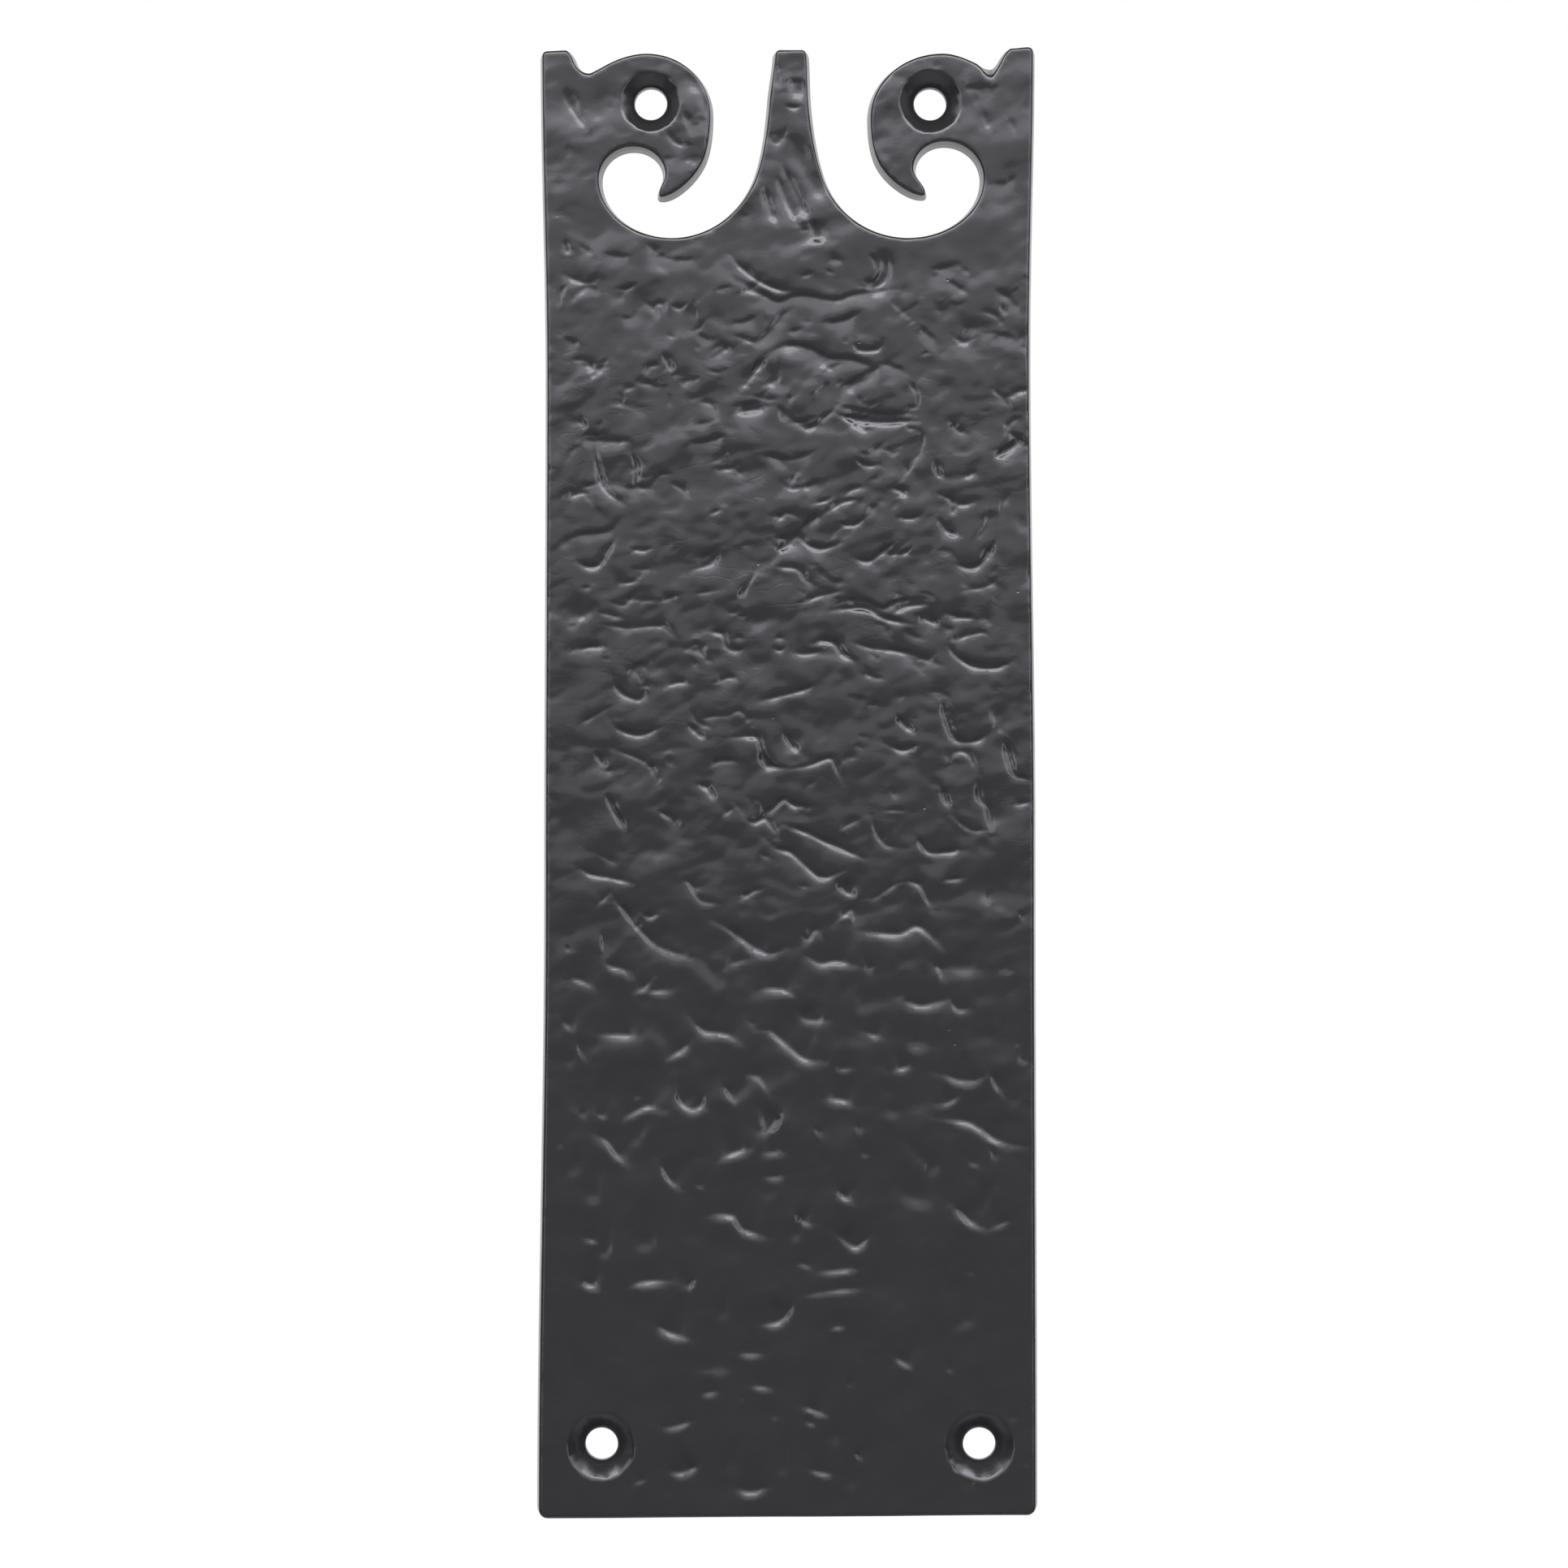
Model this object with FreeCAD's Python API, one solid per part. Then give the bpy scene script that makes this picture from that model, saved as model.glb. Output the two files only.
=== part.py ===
import FreeCAD, Part
import math
import os
import random

# Door finger plate, one rough iron casting. The front faces -Y, the flat back lies at Y = 0, +Z is up.
# The origin is the centre of the back. Every length is in mm.

NODE = "finger_plate"

# Plate
plate_height = 230.0
plate_width = 78.3
plate_thickness = 4.0
wall_draft = 0.45          # lean of the walls, from the back to the start of the edge rounding
edge_drop = 0.55           # depth over which the front edge turns in
edge_turn = 0.42           # how far the front edge turns in over that depth
foot_corner = 1.8
horn_corner = 1.15

# Crest, measured in from the side edge and down from the top, but the spike is measured from the middle.
# The casting's two halves differ a little, as the pattern was made by hand. The eye is the screw hole in the
# scroll and the toe the one by the foot, each with the width of its countersink at the face.
LEFT = dict(
    edge_in_top=0.55, edge_in_waist=1.33, waist_drop=52.0, edge_in_belly=1.08, belly_drop=134.0,
    foot_drop=-0.1,
    horn_drop=0.7, horn_dip=-0.1, horn_width=4.9,
    horn_flank_in=6.35, horn_flank_drop=2.75, horn_flank_turn=250.0,
    notch_in=8.3, notch_drop=4.1, notch_dip=1.2,
    brow_in=10.25, brow_drop=3.2, brow_turn=150.0,
    peak_in=17.35, peak_drop=1.1,
    throat_in=27.6, throat_drop=11.0,
    elbow_in=26.2, elbow_drop=18.9, elbow_turn=298.0,
    chin_in=21.9, chin_drop=23.5, chin_turn=328.0,
    tip_in=18.9, tip_drop=23.85,
    palm_in=19.7, palm_drop=20.4,
    vault_in=15.2, vault_drop=16.5,
    bowl_in=10.25, bowl_drop=21.1,
    floor_in=21.2, floor_drop=29.8,
    flare_out=5.2, flare_drop=20.4, flare_turn=110.0,
    spike_root=3.2, spike_root_drop=9.0, spike_top=2.3, spike_drop=0.55, spike_corner=1.1,
    eye_in=17.85, eye_rim=9.25, toe_in=10.15, toe_rim=10.4,
)
RIGHT = dict(
    edge_in_top=0.43, edge_in_waist=1.08, waist_drop=47.0, edge_in_belly=0.3, belly_drop=124.0,
    foot_drop=0.4,
    horn_drop=0.1, horn_dip=0.2, horn_width=4.6,
    horn_flank_in=6.2, horn_flank_drop=2.4, horn_flank_turn=244.0,
    notch_in=7.45, notch_drop=3.5, notch_dip=3.2,
    brow_in=9.4, brow_drop=2.75, brow_turn=152.0,
    peak_in=14.95, peak_drop=1.1,
    throat_in=26.65, throat_drop=11.5,
    elbow_in=25.1, elbow_drop=19.2, elbow_turn=301.0,
    chin_in=21.1, chin_drop=23.05, chin_turn=329.0,
    tip_in=17.4, tip_drop=23.6,
    palm_in=19.06, palm_drop=19.5,
    vault_in=14.65, vault_drop=15.7,
    bowl_in=9.05, bowl_drop=21.0,
    floor_in=20.35, floor_drop=29.8,
    flare_out=5.8, flare_drop=20.4, flare_turn=108.0,
    spike_root=3.72, spike_root_drop=9.0, spike_top=3.4, spike_drop=0.55, spike_corner=1.1,
    eye_in=16.85, eye_rim=9.65, toe_in=9.15, toe_rim=10.6,
)

# Screw holes, countersunk from the front
screw_bore = 5.05
eye_drop = 9.1
toe_rise = 11.6
countersink_angle = 90.0

# Relief of the front, a depth below the face
relief_pitch = 1.7         # spacing of the surface's poles
relief_reach = 2.4         # how far a mark's shallow side runs out
relief_edge = 0.8          # how wide its steep side is
relief_floor = 0.6         # the deepest it goes
mark_strength = 1.4         # every mark's depth is multiplied by this
swell_depth = 0.07
swell_length = 17.0
dent_count = 150
dent_depth = 0.15
dent_size = 3.4
dent_seed = 7

# The marks that can be made out one by one, each a line from left to right, (across, up) from the middle.
# A LEDGE is steep below its line and sunk above it, a CREASE the other way about.
LEDGE, CREASE = 1, -1
MARKS = [
    (LEDGE, 0.34, (-34.6, 107.0), (-33.0, 104.0), (-31.4, 101.0)),
    (LEDGE, 0.30, (-18.5, 101.0), (-17.4, 99.6), (-14.6, 99.6)),
    (CREASE, 0.30, (-0.2, 108.6), (1.5, 108.8), (3.2, 108.4)),
    (LEDGE, 0.24, (-2.5, 99.8), (-0.6, 100.6), (0.2, 103.0)),
    (CREASE, 0.34, (-0.6, 96.0), (1.6, 92.0), (4.0, 87.6)),
    (LEDGE, 0.36, (-1.4, 93.8), (0.4, 89.8), (2.3, 85.6)),
    (CREASE, 0.24, (27.4, 108.2), (30.0, 108.0), (32.6, 108.2)),
    (LEDGE, 0.20, (30.4, 104.8), (31.0, 103.0), (31.9, 101.0)),
    (CREASE, 0.22, (31.8, 93.0), (34.0, 93.2), (36.0, 94.4)),
    (LEDGE, 0.42, (-8.6, 81.3), (-6.8, 79.6), (-4.0, 77.8), (-1.0, 76.9), (2.0, 77.2)),
    (CREASE, 0.34, (-8.5, 78.5), (-4.5, 76.5), (-1.5, 74.8), (2, 75.8), (7.5, 75), (10.5, 75.9), (18, 76.8)),
    (LEDGE, 0.36, (11.3, 77.2), (13.3, 77.0), (15.0, 78.0), (15.6, 80.0), (15.0, 82.5)),
    (LEDGE, 0.26, (-34.8, 79.0), (-32.0, 77.8), (-30.0, 78.0), (-29.3, 80.0)),
    (CREASE, 0.24, (-29.0, 82.3), (-26.0, 81.8), (-24.0, 81.7)),
    (LEDGE, 0.30, (-34.7, 84.8), (-34.0, 81.5)),
    (CREASE, 0.26, (22.5, 79.5), (26.5, 80.5)),
    (CREASE, 0.32, (25.0, 78.0), (28.2, 76.0)),
    (LEDGE, 0.28, (33.0, 74.5), (34.3, 72.3)),
    (CREASE, 0.26, (-35.0, 69.2), (-32.0, 67.9)),
    (LEDGE, 0.34, (-19.5, 67.0), (-17.5, 63.5)),
    (CREASE, 0.26, (-14.5, 70.0), (-12.0, 68.8), (-11.0, 69.0)),
    (CREASE, 0.28, (-6.5, 68.7), (-4.5, 68.7), (-2.5, 70.5), (-1.0, 72.5), (1.0, 73.8)),
    (CREASE, 0.30, (5.0, 71.5), (8.5, 71.8), (11.5, 73.2)),
    (CREASE, 0.42, (-3.5, 66.5), (0.0, 68.0), (3.5, 67.5), (6.5, 66.0), (10.0, 65.8), (13.5, 64.5)),
    (CREASE, 0.34, (8.0, 60.8), (11.0, 62.7), (14.5, 64.7)),
    (LEDGE, 0.34, (-7.3, 61.0), (-4.8, 64.3), (-3.0, 66.3)),
    (LEDGE, 0.34, (10.5, 69.0), (11.0, 67.3), (14.0, 67.3), (15.0, 68.7)),
    (LEDGE, 0.30, (-8.8, 57.3), (-5.5, 58.0), (-2.5, 58.5)),
    (LEDGE, 0.30, (1.5, 56.0), (3.0, 55.0), (5.0, 55.8)),
    (LEDGE, 0.42, (7.2, 57.7), (8.5, 56.9), (13.5, 56.0), (20.5, 56.2)),
    (LEDGE, 0.34, (25.2, 56.5), (26.5, 54.8), (28.0, 54.2)),
    (LEDGE, 0.34, (32.0, 50.4), (34.0, 51.4), (36.0, 53.2)),
    (CREASE, 0.28, (-4.5, 51.0), (0.5, 50.2), (4.5, 51.5)),
    (LEDGE, 0.32, (10.8, 50.3), (12.0, 49.3), (14.2, 49.3)),
    (LEDGE, 0.36, (23.0, 50.5), (23.6, 47.8), (25.0, 47.6)),
    (CREASE, 0.28, (-32.5, 53.2), (-24.5, 53.0)),
    (LEDGE, 0.40, (-30.0, 52.0), (-29.3, 48.5), (-28.2, 45.5), (-25.3, 43.2)),
    (LEDGE, 0.30, (-24.5, 52.0), (-23.5, 49.5), (-23.5, 46.3), (-21.0, 45.5)),
    (CREASE, 0.34, (-15.5, 52.5), (-12.5, 53.0), (-9.5, 54.0)),
    (CREASE, 0.24, (-35.0, 44.8), (-31.5, 45.8), (-30.0, 46.5)),
    (LEDGE, 0.34, (-33.0, 34.5), (-31.0, 33.5), (-29.3, 33.8), (-28.0, 36.0), (-26.8, 38.0)),
    (LEDGE, 0.26, (-15.0, 33.0), (-12.0, 34.0), (-10.5, 36.0)),
    (LEDGE, 0.42, (-2.5, 37.5), (-1.0, 36.3), (1.5, 38.2), (3.5, 36.8), (5.5, 36.3), (8.5, 37.3)),
    (LEDGE, 0.32, (10.2, 35.0), (12.5, 34.3), (14.5, 35.5), (17.0, 37.7)),
    (LEDGE, 0.30, (15.8, 45.8), (18.0, 45.2), (18.5, 43.8)),
    (LEDGE, 0.36, (23.5, 41.0), (25.0, 39.0), (27.0, 38.3)),
    (LEDGE, 0.38, (26.0, 33.8), (29.0, 33.3), (31.0, 35.0), (32.5, 38.0)),
    (LEDGE, 0.28, (-2.0, 33.5), (1.5, 33.2), (3.0, 31.5), (4.3, 30.5)),
    (LEDGE, 0.38, (6.7, 26.8), (12.0, 27.0), (15.0, 25.5), (19.5, 24.5)),
    (LEDGE, 0.34, (20.3, 26.0), (24.0, 24.3)),
    (LEDGE, 0.40, (25.0, 21.3), (26.5, 19.5), (29.0, 18.0), (32.5, 17.8), (35.0, 18.8)),
    (LEDGE, 0.36, (3.8, 21.6), (6.0, 22.0), (7.7, 21.3), (8.5, 20.0), (10.5, 19.0)),
    (LEDGE, 0.30, (10.0, 21.8), (13.5, 20.8), (16.5, 20.5), (19.5, 19.8), (24.0, 18.2)),
    (LEDGE, 0.34, (-12.3, 23.5), (-10.0, 23.0), (-9.3, 21.0), (-7.5, 20.0)),
    (LEDGE, 0.28, (-33.0, 20.3), (-31.0, 21.0), (-28.0, 21.0)),
    (LEDGE, 0.34, (-27.0, 16.5), (-26.0, 14.0), (-23.0, 12.8), (-22.2, 15.0)),
    (LEDGE, 0.28, (-27.5, 9.6), (-26.0, 8.1), (-23.0, 7.3), (-19.5, 8.6)),
    (LEDGE, 0.26, (-4.5, 12.8), (-1.5, 13.3), (3.0, 14.5), (4.5, 15.5)),
    (LEDGE, 0.30, (-30.0, 4.9), (-29.0, 3.3), (-27.8, 1.8)),
    (LEDGE, 0.32, (-28.3, -1.4), (-27.0, -4.4), (-25.0, -7.6)),
    (LEDGE, 0.32, (-20.0, -4.4), (-18.0, -5.7), (-16.3, -7.1)),
    (LEDGE, 0.30, (-9.5, 6.9), (-5.0, 7.1), (-4.0, 5.1), (-3.0, 2.6), (0.5, 2.1)),
    (LEDGE, 0.34, (-0.5, 7.9), (0.5, 6.1), (2.0, 4.4)),
    (LEDGE, 0.36, (-14.0, -0.4), (-12.5, -0.9), (-11.0, -3.1)),
    (LEDGE, 0.40, (-0.5, -6.6), (3.0, -7.9), (5.5, -9.1), (8.5, -10.4), (12.0, -11.9)),
    (LEDGE, 0.40, (-3.0, -9.1), (-1.5, -10.4), (0.5, -10.9), (3.0, -13.1), (5.5, -14.9), (9.0, -13.6)),
    (LEDGE, 0.36, (17.0, 10.6), (18.0, 9.1), (20.0, 7.6)),
    (LEDGE, 0.34, (15.5, 5.9), (18.0, 4.9), (20.5, 5.9)),
    (LEDGE, 0.36, (24.0, 13.6), (24.8, 10.0), (26.5, 6.4), (30.0, 6.6), (31.3, 8.6)),
    (LEDGE, 0.36, (33.5, 7.6), (34.5, 4.1), (35.5, 1.1), (38.0, 0.4)),
    (LEDGE, 0.34, (20.0, -8.4), (22.0, -10.9), (25.0, -10.9), (27.5, -10.4)),
    (LEDGE, 0.32, (29.8, 1.1), (30.0, -2.4), (31.5, -4.4), (32.0, -8.4)),
    (LEDGE, 0.30, (-33.0, -12.9), (-30.5, -14.4), (-27.5, -14.9), (-23.5, -15.9)),
    (LEDGE, 0.42, (-27.6, -17.1), (-25.0, -20.4), (-22.5, -23.4), (-19.5, -25.9), (-15.0, -27.2)),
    (LEDGE, 0.36, (-11.8, -21.4), (-9.5, -22.6), (-6.3, -24.9), (-3.0, -26.7), (0.0, -25.7)),
    (LEDGE, 0.36, (11.0, -23.1), (13.5, -23.4), (17.5, -23.6), (20.0, -22.4), (22.0, -23.6), (24.5, -26.0)),
    (LEDGE, 0.30, (18.0, -15.4), (20.5, -15.9), (22.0, -18.4), (23.0, -20.4)),
    (LEDGE, 0.30, (-28.3, -27.4), (-27.5, -28.6), (-25.0, -29.4), (-24.5, -31.4)),
    (LEDGE, 0.30, (-34.3, -30.4), (-32.0, -30.9), (-29.8, -32.1)),
    (LEDGE, 0.38, (-4.5, -32.2), (-1.0, -32.2), (2.0, -33.6)),
    (LEDGE, 0.36, (2.5, -26.7), (5.0, -28.2), (7.5, -27.9), (11.5, -28.7)),
    (LEDGE, 0.30, (17.5, -33.4), (19.0, -34.4), (21.5, -34.7), (25.5, -33.7)),
    (LEDGE, 0.38, (-15.0, -36.4), (-13.0, -38.7), (-9.5, -39.2), (-7.0, -40.7)),
    (LEDGE, 0.42, (-5.0, -38.4), (-2.5, -38.9), (0.0, -40.9), (3.0, -43.2), (6.2, -43.4)),
    (LEDGE, 0.26, (-29.8, -39.2), (-25.5, -39.4), (-22.5, -39.4)),
    (LEDGE, 0.32, (-19.3, -43.4), (-15.0, -40.7)),
    (LEDGE, 0.36, (-10.0, -46.9), (-9.0, -48.4), (-7.5, -50.4)),
    (LEDGE, 0.32, (23.0, -45.2), (25.0, -45.7), (26.5, -46.4), (29.5, -46.4), (31.3, -44.7)),
    (LEDGE, 0.32, (-26.0, -52.7), (-24.0, -51.4), (-21.5, -50.4), (-19.3, -51.2)),
    (LEDGE, 0.34, (-30.0, -54.7), (-28.0, -55.9), (-26.5, -57.9), (-24.5, -59.7)),
    (LEDGE, 0.34, (-5.0, -53.9), (-3.5, -54.4), (-2.0, -52.9), (-0.5, -50.7)),
    (LEDGE, 0.36, (22.8, -52.2), (27.8, -52.9), (30.0, -53.9), (33.0, -55.9), (37.5, -56.9)),
    (LEDGE, 0.30, (-10.8, -58.9), (-8.5, -57.7), (-5.5, -56.9)),
    (LEDGE, 0.30, (-19.8, -58.9), (-18.3, -61.7), (-16.3, -63.4)),
    (LEDGE, 0.34, (25.5, -65.5), (27.5, -67.5), (29.5, -69.0), (31.3, -69.6)),
    (LEDGE, 0.36, (-12.8, -67.5), (-10.0, -67.3), (-8.0, -67.8), (-7.0, -69.5), (-2.5, -71.0)),
    (LEDGE, 0.34, (7.3, -70.0), (9.0, -71.3), (10.8, -72.3), (13.0, -70.3)),
    (LEDGE, 0.30, (-25.0, -78.5), (-22.5, -77.8), (-18.0, -77.5)),
    (LEDGE, 0.28, (4.5, -76.3), (7.5, -76.0), (11.5, -75.5)),
    (LEDGE, 0.30, (-4.5, -84.3), (-1.5, -84.0), (0.5, -82.0), (1.0, -80.5)),
    (LEDGE, 0.30, (-21.0, -84.3), (-18.0, -85.8), (-14.5, -86.8)),
    (LEDGE, 0.24, (-19.0, -107.0), (-17.0, -107.5), (-15.0, -107.0), (-13.3, -106.0)),
    (LEDGE, 0.24, (-8.5, -109.8), (-5.5, -110.5), (-2.5, -109.5)),
]


def outline_nodes(side):
    """One half of the outline, from the middle of the foot round to the top of the spike.

    A node is (out from the middle, up, heading in degrees, share of the inset it takes).
    """
    s = side
    edge = plate_width / 2
    top = plate_height / 2
    foot = -top + s["foot_drop"]
    horn = top - s["horn_drop"]
    side_top = edge - s["edge_in_top"]
    horn_end = side_top - s["horn_width"]
    spike = top - s["spike_drop"]
    return [
        (0.0, -top + (LEFT["foot_drop"] + RIGHT["foot_drop"]) / 2, 0.0, 1.0),
        (edge - foot_corner, foot, 0.0, 1.0),
        (edge, foot + foot_corner, 90.0, 1.0),
        (edge - s["edge_in_belly"], top - s["belly_drop"], 90.0, 1.0),
        (edge - s["edge_in_waist"], top - s["waist_drop"], 90.0, 1.0),
        (side_top, horn - horn_corner, 90.0, 1.0),
        (side_top - horn_corner, horn, 180.0, 1.0),
        (horn_end + horn_corner * 0.7, horn - s["horn_dip"], 180.0, 1.0),
        (edge - s["horn_flank_in"], top - s["horn_flank_drop"], s["horn_flank_turn"], 1.0),
        (edge - s["notch_in"], top - s["notch_drop"], 180.0, s["notch_dip"]),
        (edge - s["brow_in"], top - s["brow_drop"], s["brow_turn"], 1.0),
        (edge - s["peak_in"], top - s["peak_drop"], 180.0, 1.0),
        (edge - s["throat_in"], top - s["throat_drop"], 270.0, 1.0),
        (edge - s["elbow_in"], top - s["elbow_drop"], s["elbow_turn"], 1.0),
        (edge - s["chin_in"], top - s["chin_drop"], s["chin_turn"], 1.0),
        (edge - s["tip_in"], top - s["tip_drop"], 75.0, 0.75),
        (edge - s["palm_in"], top - s["palm_drop"], 90.0, 1.0),
        (edge - s["vault_in"], top - s["vault_drop"], 0.0, 1.0),
        (edge - s["bowl_in"], top - s["bowl_drop"], 270.0, 1.0),
        (edge - s["floor_in"], top - s["floor_drop"], 180.0, 1.0),
        (s["flare_out"], top - s["flare_drop"], s["flare_turn"], 1.0),
        (s["spike_root"], top - s["spike_root_drop"], 94.5, 1.0),
        (s["spike_top"], spike - s["spike_corner"], 94.0, 1.0),
        (s["spike_top"] - s["spike_corner"], spike, 180.0, 1.0),
    ]


def inset_node(node, inset):
    """The node moved into the metal, square to the outline, with its heading as a unit vector."""
    out, up, heading, share = node
    along = (math.cos(math.radians(heading)), math.sin(math.radians(heading)))
    step = inset * share
    return (out - along[1] * step, up + along[0] * step), along


def bend(start, end, level):
    """An edge from node to node that follows both headings and is a true arc where those allow one."""
    (ax, az), (adx, adz) = start
    (bx, bz), (bdx, bdz) = end
    turn = adx * bdz - adz * bdx
    reach_a = reach_b = math.hypot(bx - ax, bz - az) / 3
    if abs(turn) > 0.1:
        to_corner = ((bx - ax) * bdz - (bz - az) * bdx) / turn
        from_corner = (adx * (bz - az) - adz * (bx - ax)) / turn
        if to_corner > 0 and from_corner > 0:
            angle = math.acos(max(-1.0, min(1.0, adx * bdx + adz * bdz)))
            pull = 4 / 3 * math.tan(angle / 4) / math.tan(angle / 2)
            reach_a, reach_b = to_corner * pull, from_corner * pull
    curve = Part.BezierCurve()
    curve.setPoles([
        FreeCAD.Vector(ax, level, az),
        FreeCAD.Vector(ax + adx * reach_a, level, az + adz * reach_a),
        FreeCAD.Vector(bx - bdx * reach_b, level, bz - bdz * reach_b),
        FreeCAD.Vector(bx, level, bz),
    ])
    return curve.toShape()


def outline(inset, level):
    """The closed outline at one depth: the right half going up, then the left half coming down."""
    right = [inset_node(node, inset) for node in outline_nodes(RIGHT)]
    left = []
    for node in reversed(outline_nodes(LEFT)):
        (out, up), (dx, dz) = inset_node(node, inset)
        left.append(((-out, up), (dx, -dz)))
    ring = right + left[:-1]
    return Part.Wire([bend(a, b, level) for a, b in zip(ring, ring[1:] + ring[:1])])


def body():
    """The pierced plate with leaning walls, its front edge turned in, a little thicker than it ends up."""
    wall = plate_thickness - edge_drop
    sections = [
        outline(0.0, 0.0),
        outline(wall_draft, -wall),
        outline(wall_draft + edge_turn * 0.3, -wall - edge_drop * 0.6),
        outline(wall_draft + edge_turn * 1.3, -wall - edge_drop * 1.35),
    ]
    return Part.makeLoft(sections, True, True)


def mark_depth(across, up, kind, deep, line):
    """How far one mark sinks the face at a point."""
    nearest = None
    for (ax, az), (bx, bz) in zip(line, line[1:]):
        dx, dz = bx - ax, bz - az
        share = ((across - ax) * dx + (up - az) * dz) / (dx * dx + dz * dz)
        share = max(0.0, min(1.0, share))
        ox, oz = across - ax - dx * share, up - az - dz * share
        away = math.hypot(ox, oz)
        if nearest is None or away < nearest[0]:
            nearest = (away, dx * oz - dz * ox)
    away, side = nearest
    if side * kind >= 0:
        return deep * math.exp(-away / relief_reach)
    return deep * math.exp(-(away / relief_edge) ** 2)


def make_dents():
    """Shallow round dents between the marks, more of them toward the top, as (across, up, size, depth)."""
    source = random.Random(dent_seed)
    dents = []
    for _ in range(dent_count):
        height = 1.0 - source.random() ** 1.6
        across = (source.random() - 0.5) * plate_width
        size = dent_size * (0.7 + 0.6 * source.random())
        dents.append((across, (height - 0.5) * plate_height, size, dent_depth * (0.4 + 0.6 * height)))
    return dents


def relief_depth(across, up, marks, dents):
    """Depth of the front below its highest level at a point."""
    swell = math.sin(across / swell_length * 2.9 + 1.3) * math.sin(up / swell_length * 2.3)
    depth = swell_depth * (1.0 + swell)
    for centre_x, centre_z, size, deep in dents:
        away = math.hypot(across - centre_x, up - centre_z) / size
        if away < 2.0:
            depth += deep * math.exp(-1.5 * away * away)
    reach = relief_reach * 3
    for kind, deep, line, (low_x, high_x, low_z, high_z) in marks:
        if low_x - reach < across < high_x + reach and low_z - reach < up < high_z + reach:
            depth += mark_depth(across, up, kind, mark_strength * deep, line)
    return relief_floor * math.tanh(depth / relief_floor)


def relief_block():
    """Everything behind the cast front: one surface over a grid of poles, pushed back through the plate."""
    marks = []
    for kind, deep, *line in MARKS:
        xs = [point[0] for point in line]
        zs = [point[1] for point in line]
        marks.append((kind, deep, line, (min(xs), max(xs), min(zs), max(zs))))
    dents = make_dents()
    half_x = plate_width / 2 + relief_pitch
    half_z = plate_height / 2 + relief_pitch
    count_x = max(4, math.ceil(2 * half_x / relief_pitch))
    count_z = max(4, math.ceil(2 * half_z / relief_pitch))
    poles = []
    for i in range(count_x + 1):
        across = -half_x + 2 * half_x * i / count_x
        row = []
        for j in range(count_z + 1):
            up = -half_z + 2 * half_z * j / count_z
            depth = relief_depth(across, up, marks, dents)
            row.append(FreeCAD.Vector(across, depth - plate_thickness, up))
        poles.append(row)
    knots_x, repeats_x = uniform_knots(count_x + 1)
    knots_z, repeats_z = uniform_knots(count_z + 1)
    surface = Part.BSplineSurface()
    surface.buildFromPolesMultsKnots(poles, repeats_x, repeats_z, knots_x, knots_z, False, False, 3, 3)
    return surface.toShape().extrude(FreeCAD.Vector(0, plate_thickness + 1, 0))


def uniform_knots(pole_count):
    """Evenly spaced knots of a cubic with fixed ends, and how often each is repeated."""
    knots = list(range(pole_count - 2))
    return knots, [4] + [1] * (pole_count - 4) + [4]


def countersunk_hole(across, up, rim):
    """The space of one screw hole: a bore right through and a cone that opens to the rim at the face."""
    slope = math.tan(math.radians(countersink_angle / 2))
    proud = 1.0
    deep = (rim - screw_bore) / 2 / slope
    front = FreeCAD.Vector(across, -plate_thickness - proud, up)
    inward = FreeCAD.Vector(0, 1, 0)
    bore = Part.makeCylinder(screw_bore / 2, plate_thickness + 2 * proud, front, inward)
    cone = Part.makeCone(rim / 2 + proud * slope, screw_bore / 2, deep + proud, front, inward)
    return bore.fuse(cone)


def screw_holes():
    """All four screw holes: an eye and a toe on either side, set in from the side edge."""
    edge = plate_width / 2
    eye_up = plate_height / 2 - eye_drop
    toe_up = toe_rise - plate_height / 2
    holes = []
    for way, side in ((-1, LEFT), (1, RIGHT)):
        holes.append(countersunk_hole(way * (edge - side["eye_in"]), eye_up, side["eye_rim"]))
        holes.append(countersunk_hole(way * (edge - side["toe_in"]), toe_up, side["toe_rim"]))
    return holes


def finger_plate():
    """The whole casting."""
    plate = body().common(relief_block())
    return plate.cut(screw_holes()).Solids[0]


os.makedirs("parts", exist_ok=True)
finger_plate().exportStep("parts/" + NODE + ".step")
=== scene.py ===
"""Door finger plate: one rough iron casting under satin black lacquer, in a plain white studio.

The plate stands as the frame has it: its back on Y = 0, its front to -Y, +Z up. Sizes in this file are in mm,
measured like the plate's own, and meshes are in metres.
"""

import logging
import math
import random
from dataclasses import dataclass
from enum import Enum

import bpy
import numpy as np
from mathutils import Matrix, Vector, noise
from mathutils.geometry import interpolate_bezier


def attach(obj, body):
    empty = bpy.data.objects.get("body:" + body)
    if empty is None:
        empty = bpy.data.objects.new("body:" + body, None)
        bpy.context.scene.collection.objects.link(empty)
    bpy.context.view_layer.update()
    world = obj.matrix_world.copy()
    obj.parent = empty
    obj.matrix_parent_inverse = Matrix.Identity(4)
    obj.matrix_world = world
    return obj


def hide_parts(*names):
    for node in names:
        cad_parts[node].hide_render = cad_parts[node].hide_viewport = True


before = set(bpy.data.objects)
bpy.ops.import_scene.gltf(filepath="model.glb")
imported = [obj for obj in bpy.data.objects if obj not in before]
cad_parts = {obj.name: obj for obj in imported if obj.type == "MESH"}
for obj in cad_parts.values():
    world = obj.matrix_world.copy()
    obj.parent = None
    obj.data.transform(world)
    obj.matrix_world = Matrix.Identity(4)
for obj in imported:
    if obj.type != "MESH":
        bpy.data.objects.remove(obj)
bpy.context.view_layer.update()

MM = 0.001
NODE = "finger_plate"
log = logging.getLogger("finger_plate")


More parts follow.
